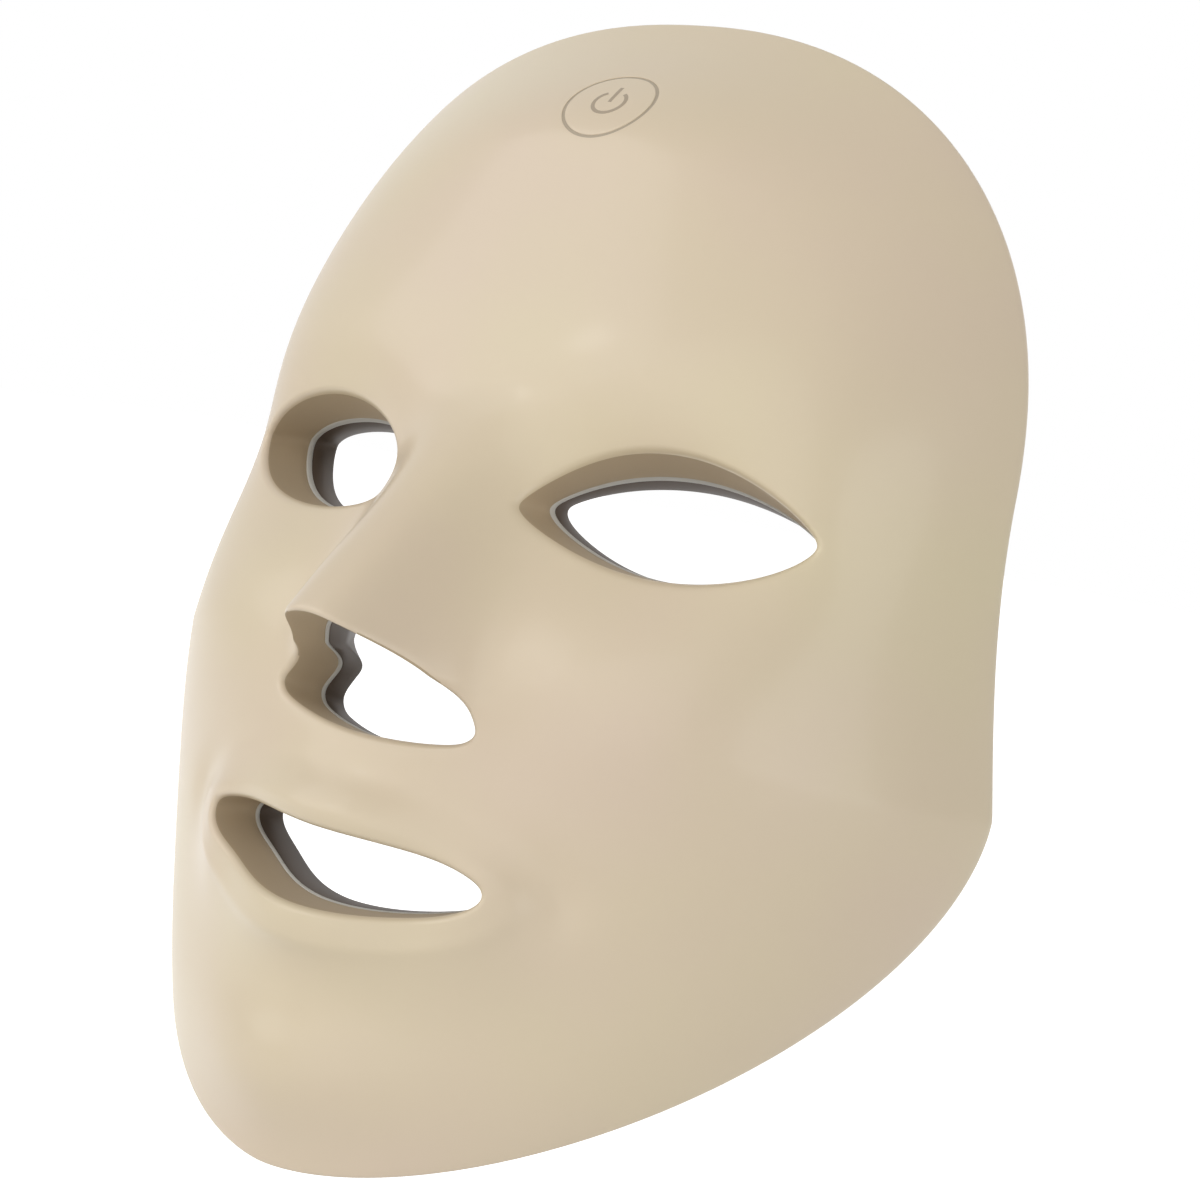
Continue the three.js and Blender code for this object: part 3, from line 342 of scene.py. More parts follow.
# Studio, in metres: name, place, size and power in watts of each soft light
LIGHTS = (
    ("key_light", (-1.4, -1.6, 1.1), 2.4, 22.5),
    ("front_light", (0.5, -2.0, 0.6), 2.4, 13.5),
    ("side_light", (2.1, -0.4, -0.05), 1.6, 13.0),
    ("back_light", (0.4, 1.9, 1.0), 2.0, 5.0),
    ("gloss_light", (-0.8, -1.6, 1.25), 0.3, 1.1),
)
LIGHT_AIM = (0, -0.03, 0)
WORLD_STRENGTH = 0.28
FLOOR_SIZE = 14
FLOOR_LEVEL = -0.32
FLOOR_COLOUR = (0.8, 0.8, 0.8, 1.0)
FLOOR_GLOW = 0.97
WHITE = (1.0, 1.0, 1.0, 1.0)

# Camera: azimuth, elevation and roll in degrees, lengths in millimetres, and picture pixels
CAMERA_ANGLES = (32.316, 4.826, 9.879)
CAMERA_TARGET = (24.263, -39.996, -0.675)
CAMERA_DISTANCE = 371.866
SENSOR_WIDTH = 36
PICTURE_PIXELS = 1200
FOCAL_PIXELS = 1987.741
SHIFT_PIXELS = (-0.749, -15.224)
CLIP_START = 10


def lerp(start, end, share):
    return start + (end - start) * share


def smooth_share(share):
    return share * share * (3 - 2 * share)


def linear_colour(hex_colour):
    """An sRGB hex colour as linear red, green and blue, by the curve of the sRGB standard."""
    channels = [int(hex_colour[at:at + 2], 16) / 255 for at in (0, 2, 4)]
    return tuple(c / 12.92 if c <= 0.04045 else ((c + 0.055) / 1.055) ** 2.4 for c in channels)


# Face surface


def half_width_at(z):
    up = np.clip((z - TEMPLE_LEVEL) / (CROWN_TOP - TEMPLE_LEVEL), 0, 1)
    middle = np.clip((z - JAW_LEVEL) / (TEMPLE_LEVEL - JAW_LEVEL), 0, 1)
    down = np.clip((JAW_LEVEL - z) / (JAW_LEVEL - CHIN_BOTTOM), 0, 1)
    above = TEMPLE_HALF_WIDTH * (1 - up**CROWN_ROUNDNESS) ** (1 / CROWN_ROUNDNESS)
    between = lerp(JAW_HALF_WIDTH, TEMPLE_HALF_WIDTH, np.sin(middle * math.pi / 2))
    below = JAW_HALF_WIDTH * (1 - down**JAW_FALL_POWER) ** (1 / JAW_WIDTH_POWER)
    return np.where(z > TEMPLE_LEVEL, above, np.where(z > JAW_LEVEL, between, below))


def find_rim_radii(angles):
    inside = np.zeros_like(angles)
    outside = np.full_like(angles, JAW_HALF_WIDTH + CROWN_TOP - CHIN_BOTTOM)
    for _ in range(HALVINGS):
        radius = (inside + outside) / 2
        fits = half_width_at(FACE_CENTRE + radius * np.sin(angles)) > radius * np.abs(np.cos(angles))
        inside = np.where(fits, radius, inside)
        outside = np.where(fits, outside, radius)
    return inside


TABLE_ANGLES = np.linspace(-math.pi, math.pi, TABLE_STATIONS)
TABLE_RADII = find_rim_radii(TABLE_ANGLES)


def rim_radius(angle):
    wrapped = (np.asarray(angle) + math.pi) % (2 * math.pi) - math.pi
    return np.interp(wrapped, TABLE_ANGLES, TABLE_RADII)


def rim_y(z):
    up = np.clip((z - TEMPLE_LEVEL) / (CROWN_TOP - TEMPLE_LEVEL), 0, 1)
    down = np.clip((JAW_LEVEL - z) / (JAW_LEVEL - CHIN_BOTTOM), 0, 1)
    return -CROWN_FORWARD * up**CROWN_FORWARD_POWER - CHIN_FORWARD * down**CHIN_FORWARD_POWER


def nose_rise(x, z, depth):
    down = np.clip((NOSE_ROOT_LEVEL - z) / (NOSE_ROOT_LEVEL - NOSE_END_LEVEL), 0, 1)
    soft = np.hypot(down, NOSE_ROOT_ROUNDING) - NOSE_ROOT_ROUNDING
    climb = soft / (math.hypot(1, NOSE_ROOT_ROUNDING) - NOSE_ROOT_ROUNDING)
    below = smooth_share(np.clip((NOSE_END_LEVEL - z) / NOSE_UNDERSIDE, 0, 1))
    height = NOSE_HEIGHT - NOSE_RELIEF * depth / TUNNEL_DEPTH
    spread = lerp(NOSE_ROOT_SPREAD, NOSE_SPREAD, down)
    flank = np.abs(x / spread) ** lerp(NOSE_ROOT_POWER, NOSE_FLANK_POWER, down)
    return height * climb**NOSE_RISE_POWER * (1 - below) * np.exp(-flank / 2)


def swelling_rise(x, z, depth):
    rise = nose_rise(x, z, depth)
    for at_x, at_z, height, spread_x, spread_z in SWELLINGS.values():
        for side in (1, -1) if at_x else (1,):
            across = (x - side * at_x) / spread_x
            along = (z - at_z) / spread_z
            rise = rise + height * np.exp(-(across**2 + along**2) / 2)
    return rise


def edge_inset(depth):
    """How far a layer's edge lies inside the outer edge of the face."""
    if depth <= SHELL_WALL:
        return depth
    if depth <= REAR_FACE_DEPTH:
        return SHELL_WALL + WALL_GAP * (depth - SHELL_WALL) / CAVITY_DEPTH
    return depth - CAVITY_DEPTH + WALL_GAP


def layer_y(x, z, depth):
    """y of the layer that lies at a depth below the outer face."""
    angle = np.arctan2(z - FACE_CENTRE, x)
    reach = rim_radius(angle) - edge_inset(depth)
    share = np.clip(np.hypot(x, z - FACE_CENTRE) / reach, 0, 1)
    sideways = np.cos(angle) ** 2
    fullness = lerp(HEIGHT_FULLNESS, SIDE_FULLNESS, sideways)
    power = lerp(HEIGHT_POWER, SIDE_POWER, sideways)
    edge = np.sqrt(1 - fullness**power)
    dome = (np.sqrt(1 - (fullness * share) ** power) - edge) / (1 - edge)
    crest = -(DOME_DEPTH + DOME_LEAN * (z - FACE_CENTRE)) * dome
    rim = rim_y(FACE_CENTRE + reach * np.sin(angle)) * (1 - dome)
    fade = smooth_share(np.clip((1 - share) / SWELLING_FADE_SHARE, 0, 1))
    sink = smooth_share(np.clip((1 - share) * reach / RIM_BLEND, 0, 1))
    return crest + rim - swelling_rise(x, z, depth) * fade + depth * sink


def layer_points(flat, depth):
    """Points of the layer over pairs of x and z."""
    flat = np.asarray(flat, float)
    return np.column_stack([flat[:, 0], layer_y(flat[:, 0], flat[:, 1], depth), flat[:, 1]])


class FaceFrame:
    """A place on the face with its own axes: across, up the face, and out of it."""

    def __init__(self, x, z, depth=0.0, reach=SLOPE_REACH):
        slope_x = (layer_y(x + reach, z, depth) - layer_y(x - reach, z, depth)) / (2 * reach)
        slope_z = (layer_y(x, z + reach, depth) - layer_y(x, z - reach, depth)) / (2 * reach)
        out = np.array([float(slope_x), -1.0, float(slope_z)])
        self.out = out / np.linalg.norm(out)
        up = np.array([0.0, 0.0, 1.0]) - self.out * self.out[2]
        self.up = up / np.linalg.norm(up)
        self.across = np.cross(self.up, self.out)
        self.origin = layer_points([(x, z)], depth)[0]

    def place(self, plan, heights):
        """Points over pairs of across and up, at heights along the axis that leads out."""
        plan = np.asarray(plan, float)
        heights = np.broadcast_to(heights, (len(plan),))
        sideways = np.outer(plan[:, 0], self.across) + np.outer(plan[:, 1], self.up)
        return self.origin + sideways + np.outer(heights, self.out)

    def layer_heights(self, plan, depth):
        """Heights of a layer over pairs of across and up."""
        low = np.full(len(plan), LOWEST_HEIGHT)
        high = np.full(len(plan), HIGHEST_HEIGHT)
        for _ in range(HALVINGS):
            height = (low + high) / 2
            points = self.place(plan, height)
            under = points[:, 1] > layer_y(points[:, 0], points[:, 2], depth)
            low = np.where(under, height, low)
            high = np.where(under, high, height)
        return low

    def height_at(self, depth, across=0.0, up=0.0):
        """Height of a layer over one place."""
        return float(self.layer_heights([(across, up)], depth)[0])

    def on_layer(self, plan, depth, rise=0.0):
        """Points over pairs of across and up, at a rise above a layer."""
        return self.place(plan, self.layer_heights(plan, depth) + rise)

    def turned_edge(self, start, end, depth, rise, steps):
        """Loops that leave a layer at one outline and turn along the axis at another."""
        corner = self.on_layer(end, depth)
        return bend(self.on_layer(start, depth), corner, self.on_layer(end, depth, rise), steps)

    def matrix(self, across=0.0, up=0.0, height=0.0):
        """World matrix, in metres, of a place in this frame."""
        axes = Matrix((self.across, self.up, self.out)).transposed().to_4x4()
        spot = self.place([(across, up)], height)[0] * MM
        return Matrix.Translation(spot) @ axes


# Outlines of the openings


def closed_resample(front, rear, count):
    """Both outlines at equal steps along the front one."""
    steps = np.linalg.norm(np.roll(front, -1, axis=0) - front, axis=1)
    along = np.concatenate([[0], np.cumsum(steps)])
    wanted = np.linspace(0, along[-1], count, endpoint=False)
    resampled = []
    for outline in (front, rear):
        closed = np.vstack([outline, outline[:1]])
        resampled.append(np.column_stack([np.interp(wanted, along, closed[:, axis]) for axis in (0, 1)]))
    return resampled


def rounded(outline, spread):
    """A closed outline of equal steps with its corners rounded over a spread in millimetres."""
    count = len(outline)
    step = np.linalg.norm(outline[1] - outline[0])
    reach = (np.arange(count) + count // 2) % count - count // 2
    weights = np.exp(-((reach * step / spread) ** 2) / 2)
    weights = weights / weights.sum()
    spectrum = np.fft.fft(weights)
    smooth = [np.real(np.fft.ifft(np.fft.fft(outline[:, axis]) * spectrum)) for axis in (0, 1)]
    return np.column_stack(smooth)


def eye_trace(side, upper_height, lower_height, half_width, centre_x):
    angle = np.linspace(0, 2 * math.pi, TRACE_STATIONS, endpoint=False)
    outward = np.cos(angle)
    lift = np.abs(np.sin(angle))
    upper = upper_height * lift**EYE_UPPER_POWER * (1 + EYE_UPPER_SKEW * outward)
    lower = -lower_height * lift**EYE_LOWER_POWER * (1 + EYE_LOWER_SKEW * outward)
    v = np.where(np.sin(angle) >= 0, upper, lower)
    u = centre_x - EYE_X + half_width * outward
    tilt = math.radians(EYE_TILT)
    x = EYE_X + u * math.cos(tilt) - v * math.sin(tilt)
    z = EYE_LEVEL + u * math.sin(tilt) + v * math.cos(tilt)
    return np.column_stack([side * x, z])


def eye_outline(side):
    draw = EYE_OUTER_DRAW / 2
    front = eye_trace(side, EYE_UPPER_HEIGHT, EYE_LOWER_HEIGHT, EYE_HALF_WIDTH, EYE_X)
    heights = EYE_UPPER_HEIGHT - EYE_UPPER_DRAW, EYE_LOWER_HEIGHT + EYE_LOWER_FLARE
    return front, eye_trace(side, *heights, EYE_HALF_WIDTH - draw, EYE_X - draw)


def nose_trace(half_width, top, base):
    share = np.linspace(0, 1, NOSE_TRACE_STATIONS)
    fall = (top - base) * NOSTRIL_FALL_SHARE * share**NOSTRIL_FALL_POWER
    slope = np.column_stack([share * NOSTRIL_SLOPE_SHARE * half_width, top - fall])
    angle = np.linspace(NOSTRIL_CORNER_ANGLE, -math.pi / 2, NOSE_TRACE_STATIONS)
    sill_z = base + NOSTRIL_LIFT + NOSTRIL_SILL * np.sin(angle)
    sill = np.column_stack([half_width * np.cos(angle), sill_z])
    wing = np.linspace(slope[-1], sill[0], NOSE_WING_STATIONS)[1:-1]
    half = np.vstack([slope, wing, sill])
    mirrored = half[1:-1][::-1] * (-1, 1)
    return np.vstack([half, mirrored])


def nose_outline():
    front = nose_trace(NOSTRIL_HALF_WIDTH, NOSTRIL_TOP, NOSTRIL_BASE)
    rear_half_width = NOSTRIL_HALF_WIDTH - NOSTRIL_SIDE_DRAW
    rear_base = NOSTRIL_BASE - NOSTRIL_BASE_DROP
    return front, nose_trace(rear_half_width, NOSTRIL_TOP - NOSTRIL_TOP_DRAW, rear_base)


def mouth_trace(half_width, level, half_height=MOUTH_HALF_HEIGHT):
    angle = np.linspace(0, 2 * math.pi, TRACE_STATIONS, endpoint=False)
    share = np.cos(angle)
    height = half_height * np.sqrt(1 - np.abs(share) ** MOUTH_POWER)
    base = level + MOUTH_RISE * share**2
    return np.column_stack([share * half_width, base + np.sign(np.sin(angle)) * height])


def mouth_outline():
    rear = mouth_trace(MOUTH_HALF_WIDTH - MOUTH_SIDE_DRAW, MOUTH_LEVEL - MOUTH_DROP)
    return mouth_trace(MOUTH_HALF_WIDTH, MOUTH_LEVEL), rear


class Opening:
    """An opening's outline at the face and at the wearer's side."""

    def __init__(self, name, outlines, corner_spread):
        self.name = name
        front, rear = closed_resample(*outlines, OPENING_STATIONS)
        self.front = rounded(front, corner_spread)
        self.rear = rounded(rear, corner_spread)

    def flat_loop(self, depth, offset):
        flat = lerp(self.front, self.rear, depth / TUNNEL_DEPTH)
        following = np.roll(flat, -1, axis=0)
        turn = np.sign(np.sum(flat[:, 0] * following[:, 1] - following[:, 0] * flat[:, 1]))
        along = following - np.roll(flat, 1, axis=0)
        along = along / np.linalg.norm(along, axis=1)[:, None]
        return flat + turn * offset * np.column_stack([along[:, 1], -along[:, 0]])

    def loop(self, depth, offset):
        return layer_points(self.flat_loop(depth, offset), depth)


OPENINGS = (
    Opening("left_eye", eye_outline(1), corner_spread=0.7),
    Opening("right_eye", eye_outline(-1), corner_spread=0.7),
    Opening("nose", nose_outline(), corner_spread=1.1),
    Opening("mouth", mouth_outline(), corner_spread=0.8),
)


# Meshes


class Shape:
    """Points in millimetres and faces, gathered from sheets and strips."""

    def __init__(self):
        self.points = []
        self.faces = []
        self.count = 0

    def add(self, points, faces):
        self.points.append(np.asarray(points, float))
        self.faces.extend([tuple(self.count + at for at in face) for face in faces])
        self.count += len(points)

    def add_strips(self, loops, closed=False):
        """Quads between loops of equal count; a closed run joins the last loop to the first."""
        count = len(loops[0])
        runs = len(loops) if closed else len(loops) - 1
        faces = []
        for ring in range(runs):
            here = ring * count
            there = (ring + 1) % len(loops) * count
            for at in range(count):
                after = (at + 1) % count
                faces.append((here + at, here + after, there + after, there + at))
        self.add(np.vstack(loops), faces)

    def add_skin(self, depth, rim, holes, spacing):
        """Triangles that cover a layer between the loop at its edge and the loops of its holes."""
        loops = [rim, *holes]
        border = np.vstack(loops)
        grid = free_grid(border[:, [0, 2]], [loop[:, [0, 2]] for loop in loops], spacing)
        flat = np.vstack([border[:, [0, 2]], grid])
        points = np.vstack([border, layer_points(grid, depth)])
        edges = []
        start = 0
        for loop in loops:
            edges.extend((start + at, start + (at + 1) % len(loop)) for at in range(len(loop)))
            start += len(loop)
        coords = [Vector(pair) for pair in flat.tolist()]
        result = geometry.delaunay_2d_cdt(coords, edges, [], KEEP_INSIDE, TRIANGLE_TOLERANCE)
        sources = [came[0] for came in result[3]]
        faces = np.array([[sources[at] for at in face] for face in result[2]])
        centres = flat[faces].mean(axis=1)
        kept = np.ones(len(faces), bool)
        for hole in holes:
            kept &= ~within(centres, hole[:, [0, 2]])
        self.add(points, faces[kept].tolist())


def within(points, outline):
    """Which points lie inside a closed outline."""
    inside = np.zeros(len(points), bool)
    x, z = points[:, 0], points[:, 1]
    for (x0, z0), (x1, z1) in zip(outline, np.roll(outline, -1, axis=0)):
        if z0 == z1:
            continue
        crosses = (z0 > z) != (z1 > z)
        inside ^= crosses & (x < (x1 - x0) * (z - z0) / (z1 - z0) + x0)
    return inside


def free_grid(border, outlines, spacing):
    """A grid of offset rows inside the first outline, clear of the border and of the other outlines."""
    low = border.min(axis=0)
    high = border.max(axis=0)
    rows = np.arange(low[1], high[1], spacing * math.sqrt(3) / 2)
    columns = np.arange(low[0], high[0], spacing)
    across, along = np.meshgrid(columns, rows)
    across = across + (np.arange(len(rows)) % 2)[:, None] * spacing / 2
    grid = np.column_stack([across.ravel(), along.ravel()])
    kept = within(grid, outlines[0])
    for outline in outlines[1:]:
        kept &= ~within(grid, outline)
    grid = grid[kept]
    tree = kdtree.KDTree(len(border))
    for index, (x, z) in enumerate(border):
        tree.insert((x, z, 0), index)
    tree.balance()
    clear = [tree.find((x, z, 0))[2] > SKIN_CLEAR_SHARE * spacing for x, z in grid]
    return grid[clear]


def bend(start, corner, end, steps):
    """Loops round a corner, from the start loop to the end loop."""
    shares = np.linspace(0, 1, steps + 1)
    return [start * (1 - t) ** 2 + corner * 2 * t * (1 - t) + end * t**2 for t in shares]


def select_only(obj):
    bpy.ops.object.select_all(action="DESELECT")
    obj.select_set(True)
    bpy.context.view_layer.objects.active = obj


def new_box(size, centre):
    """A box primitive in millimetres, alone selected."""
    bpy.ops.object.select_all(action="DESELECT")
    bpy.ops.mesh.primitive_cube_add(size=MM, location=Vector(centre) * MM, scale=size)
    bpy.ops.object.transform_apply(location=True, rotation=True, scale=True)
    return bpy.context.active_object


def new_disc(radius, low, high, count):
    """A round bar primitive in millimetres between two heights, alone selected."""
    bpy.ops.object.select_all(action="DESELECT")
    middle = (low + high) / 2 * MM
    bpy.ops.mesh.primitive_cylinder_add(
        vertices=count, radius=radius * MM, depth=(high - low) * MM, location=(0, 0, middle)
    )
    bpy.ops.object.transform_apply(location=True, rotation=True, scale=True)
    return bpy.context.active_object


def pick_faces(obj, wanted):
    """In edit mode, selects only the faces whose middle in millimetres and normal pass a test."""
    bpy.ops.mesh.select_mode(type="FACE")
    bpy.ops.mesh.select_all(action="DESELECT")
    for face in bmesh.from_edit_mesh(obj.data).faces:
        face.select_set(bool(wanted(face.calc_center_median() / MM, face.normal)))
    bmesh.update_edit_mesh(obj.data)


def pick_edges(obj, wanted):
    """In edit mode, selects only the edges whose two ends in millimetres pass a test."""
    bpy.ops.mesh.select_mode(type="EDGE")
    bpy.ops.mesh.select_all(action="DESELECT")
    for edge in bmesh.from_edit_mesh(obj.data).edges:
        edge.select_set(bool(wanted(*(vertex.co / MM for vertex in edge.verts))))
    bmesh.update_edit_mesh(obj.data)


def extrude(along):
    """Extrudes the selected faces by a step in millimetres."""
    bpy.ops.mesh.extrude_region_move(TRANSFORM_OT_translate={"value": Vector(along) * MM})


def bevel_all(obj, width, segments=2):
    """Rounds every sharp edge of a piece."""
    select_only(obj)
    modifier = obj.modifiers.new("Edges", "BEVEL")
    modifier.width = width * MM
    modifier.segments = segments
    modifier.limit_method = "ANGLE"
    modifier.angle_limit = math.radians(SHARP_ANGLE)
    bpy.ops.object.modifier_apply(modifier=modifier.name)


def cut(obj, cutter):
    """Cuts a piece with another, which is then removed."""
    select_only(obj)
    modifier = obj.modifiers.new("Cut", "BOOLEAN")
    modifier.object = cutter
    modifier.operation = "DIFFERENCE"
    modifier.solver = "EXACT"
    bpy.ops.object.modifier_apply(modifier=modifier.name)
    bpy.data.objects.remove(cutter)


def copied(obj, name, place):
    """A copy with its own mesh, put at a place."""
    twin = obj.copy()
    twin.data = obj.data.copy()
    twin.name = name
    twin.data.name = name
    bpy.context.scene.collection.objects.link(twin)
    twin.matrix_world = place
    return twin


def joined(name, objects):
    """Joins objects into the first one."""
    bpy.ops.object.select_all(action="DESELECT")
    for obj in objects:
        obj.select_set(True)
    bpy.context.view_layer.objects.active = objects[0]
    bpy.ops.object.join()
    objects[0].name = name
    return objects[0]


def finish_mesh(obj, smooth_angle=SMOOTH_ANGLE):
    select_only(obj)
    bpy.ops.object.transform_apply(location=True, rotation=True, scale=True)
    bpy.ops.object.mode_set(mode="EDIT")
    bpy.ops.mesh.select_all(action="SELECT")
    bpy.ops.mesh.remove_doubles(threshold=MERGE_DISTANCE * MM)
    bpy.ops.mesh.normals_make_consistent(inside=False)
    bpy.ops.object.mode_set(mode="OBJECT")
    bpy.ops.object.shade_smooth_by_angle(angle=math.radians(smooth_angle))


def shape_object(name, shape, smooth_angle=SMOOTH_ANGLE):
    mesh = bpy.data.meshes.new(name)
    mesh.from_pydata((np.vstack(shape.points) * MM).tolist(), [], shape.faces)
    obj = bpy.data.objects.new(name, mesh)
    bpy.context.scene.collection.objects.link(obj)
    finish_mesh(obj, smooth_angle)
    return obj


def settle(obj, body, slot, material, *nodes):
    """Gives a made piece its finish and the body it moves with, and hides the nodes that it stands for; the
    slot is not used.
    """
    obj.data.materials.clear()
    obj.data.materials.append(material)
    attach(obj, body)
    if nodes:
        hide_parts(*nodes)


# Materials


def new_material(name):
    material = bpy.data.materials.new(name)
    material.use_nodes = True
    material.node_tree.nodes.clear()
    return material


def add_node(tree, kind, inputs=None, **settings):
    """Adds a node, sets its settings, and links or sets its inputs."""
    node = tree.nodes.new(kind)
    for name, value in settings.items():
        setattr(node, name, value)
    for name, value in (inputs or {}).items():
        if isinstance(value, bpy.types.NodeSocket):
            tree.links.new(value, node.inputs[name])
        else:
            node.inputs[name].default_value = value
    return node


def opaque(colour):
    return (*colour, 1.0)


def grained_surface(name, light, dark, roughness, patch_mm, grain_mm, grain_depth, **extra):
    """A moulded, printed or plated surface: faint patches in colour and shine, and a fine grain."""
    material = new_material(name)
    tree = material.node_tree
    spot = add_node(tree, "ShaderNodeTexCoord").outputs["Object"]
    patch_scale = 1 / (patch_mm * MM)
    grain_scale = 1 / (grain_mm * MM)
    patches = add_node(
        tree,
        "ShaderNodeTexNoise",
        {"Vector": spot, "Scale": patch_scale, "Detail": 2.0, "Roughness": 0.45},
    )
    # Inputs 6 and 7 and output 2 are the colour ones of this node
    mix = add_node(
        tree,
        "ShaderNodeMix",
        {0: patches.outputs["Fac"], 6: opaque(dark), 7: opaque(light)},
        data_type="RGBA",
    )
    shine = add_node(
        tree,
        "ShaderNodeMapRange",
        {
            "Value": patches.outputs["Fac"],
            "To Min": roughness * SHINE_SPREAD[0],
            "To Max": roughness * SHINE_SPREAD[1],
        },
    )
    grain = add_node(
        tree, "ShaderNodeTexNoise", {"Vector": spot, "Scale": grain_scale, "Detail": 3.0}
    )
    bump = add_node(
        tree,
        "ShaderNodeBump",
        {"Height": grain.outputs["Fac"], "Strength": 1.0, "Distance": grain_depth * MM},
    )
    shader = add_node(
        tree,
        "ShaderNodeBsdfPrincipled",
        {
            "Base Color": mix.outputs[2],
            "Roughness": shine.outputs["Result"],
            "Normal": bump.outputs["Normal"],
            **extra,
        },
    )
    add_node(tree, "ShaderNodeOutputMaterial", {"Surface": shader.outputs["BSDF"]})
    return material


def finish(context, key):
    """The material of a finish, made the first time that a piece asks for it."""
    name, *colours, roughness, patch_mm, grain_mm, grain_depth, extra = FINISHES[key]
    if name in bpy.data.materials:
        return bpy.data.materials[name]
    chosen = context.scene.face_mask_colours
    light, dark = (
        getattr(chosen, colour) if hasattr(chosen, colour) else linear_colour(colour)
        for colour in colours
    )
    return grained_surface(name, light, dark, roughness, patch_mm, grain_mm, grain_depth, **extra)


# How far the shine strays from a finish's roughness, as shares of it
SHINE_SPREAD = (0.85, 1.2)

# Each finish: material, light and dark colour, roughness, size of its patches, size and depth of
# its grain in millimetres, and more of the shader's values. A colour is hex, or one of the panel's.
# The real grain is mostly finer than 0.1 mm and wouldn't show, so it is drawn coarser.
FINISHES = {
    # Injection moulded in a polished mould: soft broad reflections over a faint flow mottle
    "shell": (
        "Glossy moulded ABS, warm beige", "shell", "shell_flow", 0.36, 55, 1.6, 0.004,
        {"Specular IOR Level": 0.34, "Coat Weight": 0.2, "Coat Roughness": 0.12},
    ),
    # The same plastic where the mould is spark textured: matt, and its colour darkened as painted shade for
    # the shadow inside the openings
    "opening_wall_painted_shade": (
        "Spark textured moulded ABS, beige, with painted shade", "C1AE91", "BAA78B", 0.62, 30, 0.7, 0.006,
        {"Specular IOR Level": 0.2},
    ),
    # Polished and clear: the light boards show through it
    "clear_smoke": (
        "Polished polycarbonate, light smoke tint", "DAD5CE", "D2CDC6", 0.07, 40, 1.2, 0.0005,
        {"IOR": 1.58, "Transmission Weight": 0.88},
    ),
    # Spark textured: dull, and dark grey brown where it is thick
    "dark_smoke": (
        "Textured polycarbonate, dark smoke tint", "rear", "574B40", 0.46, 40, 1.2, 0.003,
        {"IOR": 1.58, "Specular IOR Level": 0.2},
    ),
    # Moulded rubber: a soft sheen with a fine matt grain
    "seal": (
        "Moulded silicone rubber, light grey", "seal", "C4C2BB", 0.5, 12, 0.4, 0.003,
        {"IOR": 1.41, "Specular IOR Level": 0.4},
    ),
    # A thin flat film, duller than the plastic under it
    "ink": ("Pad printed ink, grey beige", "B0A08A", "A99984", 0.5, 6, 0.3, 0.001, {}),
    # A diffuser whose light is off: satin and slightly deeper than the shell
    "light_ring": (
        "Diffusing acrylic ring, grey beige", "B2A38D", "AA9B85", 0.4, 6, 0.3, 0.001,
        {"IOR": 1.49},
    ),
    # Stamped or cold formed, then plated: grey metal with a soft, slightly uneven shine
    "plated_steel": (
        "Nickel plated steel, satin", "B4B6B8", "A2A4A6", 0.3, 2, 0.15, 0.002,
        {"Metallic": 1.0},
    ),
    # Moulded with glass fibres in it: dull with a fine speckled grain
    "black_nylon": ("Glass-filled nylon, black", "262628", "1C1C1E", 0.5, 3, 0.2, 0.003, {}),
    # Printed on a flexible board: satin, with a faint unevenness over the copper
    "white_board": (
        "Solder mask on flexible board, white", "E6E6E0", "D9D9D2", 0.4, 5, 0.4, 0.004, {}
    ),
    # Cast over the die: smooth and a little glossy
    "led_lens": (
        "Cast silicone lens, pale amber", "E9D79A", "DCC780", 0.15, 2, 0.5, 0.001,
        {"IOR": 1.41},
    ),
    # Printed over the weave of a stiff board: satin, in an uneven deep green
    "green_board": (
        "Solder mask on glass fibre board, green", "2C6B43", "245C39", 0.35, 4, 0.3, 0.004, {}
    ),
    # Moulded plain: an even off-white with a soft shine
    "white_nylon": ("Moulded nylon, white", "E6E6E0", "D9D9D2", 0.4, 5, 0.4, 0.004, {}),
    # Cast film over copper: warm amber with a smooth shine
    "amber_film": ("Polyimide film, amber", "B9742B", "A86421", 0.3, 6, 0.5, 0.004, {}),
    # Moulded plain: near black, with a dull shine
    "plain_black_nylon": ("Moulded nylon, black", "222224", "1A1A1C", 0.5, 3, 0.2, 0.004, {}),
    # Drawn foil film: pale blue grey, slightly wrinkled
    "pouch_film": (
        "Laminated pouch film, pale blue grey", "9FB2C1", "93A6B5", 0.4, 8, 0.8, 0.004, {}
    ),
}

# The finish of the CAD nodes of each slot
NODE_FINISHES = {
    "green_board": "green_board",
    "white_board": "white_nylon",
    "amber_ribbon": "amber_film",
    "black_plastic": "plain_black_nylon",
    "cell_wrap": "pouch_film",
    "steel": "plated_steel",
    "smoke_shell": "dark_smoke",
}


# Sizes and colours that a user would change


class FaceMaskSizes(bpy.types.PropertyGroup):
    edge_radius: FloatProperty(
        name="Opening edge radius",
        description="Rounding where the face turns into an opening",
        default=1.3 * MM,
        min=0.3 * MM,
        max=2.5 * MM,
        unit="LENGTH",
    )
    rim_radius: FloatProperty(
        name="Rim radius",
        description="Rounding of the shell's outer edge",
        default=1.0 * MM,
        min=0.2 * MM,
        max=1.2 * MM,
        unit="LENGTH",
    )
    skin_spacing: FloatProperty(
        name="Face mesh spacing",
        description="Distance between points of the outer face",
        default=1.1 * MM,
        min=0.6 * MM,
        max=4.0 * MM,
        unit="LENGTH",
    )
    bracket_edge: FloatProperty(
        name="Bracket edge radius",
        description="Rounding of the strap brackets' edges",
        default=0.6 * MM,
        min=0.1 * MM,
        max=1.2 * MM,
        unit="LENGTH",
    )
    led_side: FloatProperty(
        name="LED package side",
        description="Side of each square LED package",
        default=2.8 * MM,
        min=1.6 * MM,
        max=5.0 * MM,
        unit="LENGTH",
    )
    cap_edge: FloatProperty(
        name="Button edge radius",
        description="Rounding of the button's edge and of the hole that it sits in",
        default=0.1 * MM,
        min=0.03 * MM,
        max=0.3 * MM,
        unit="LENGTH",
    )


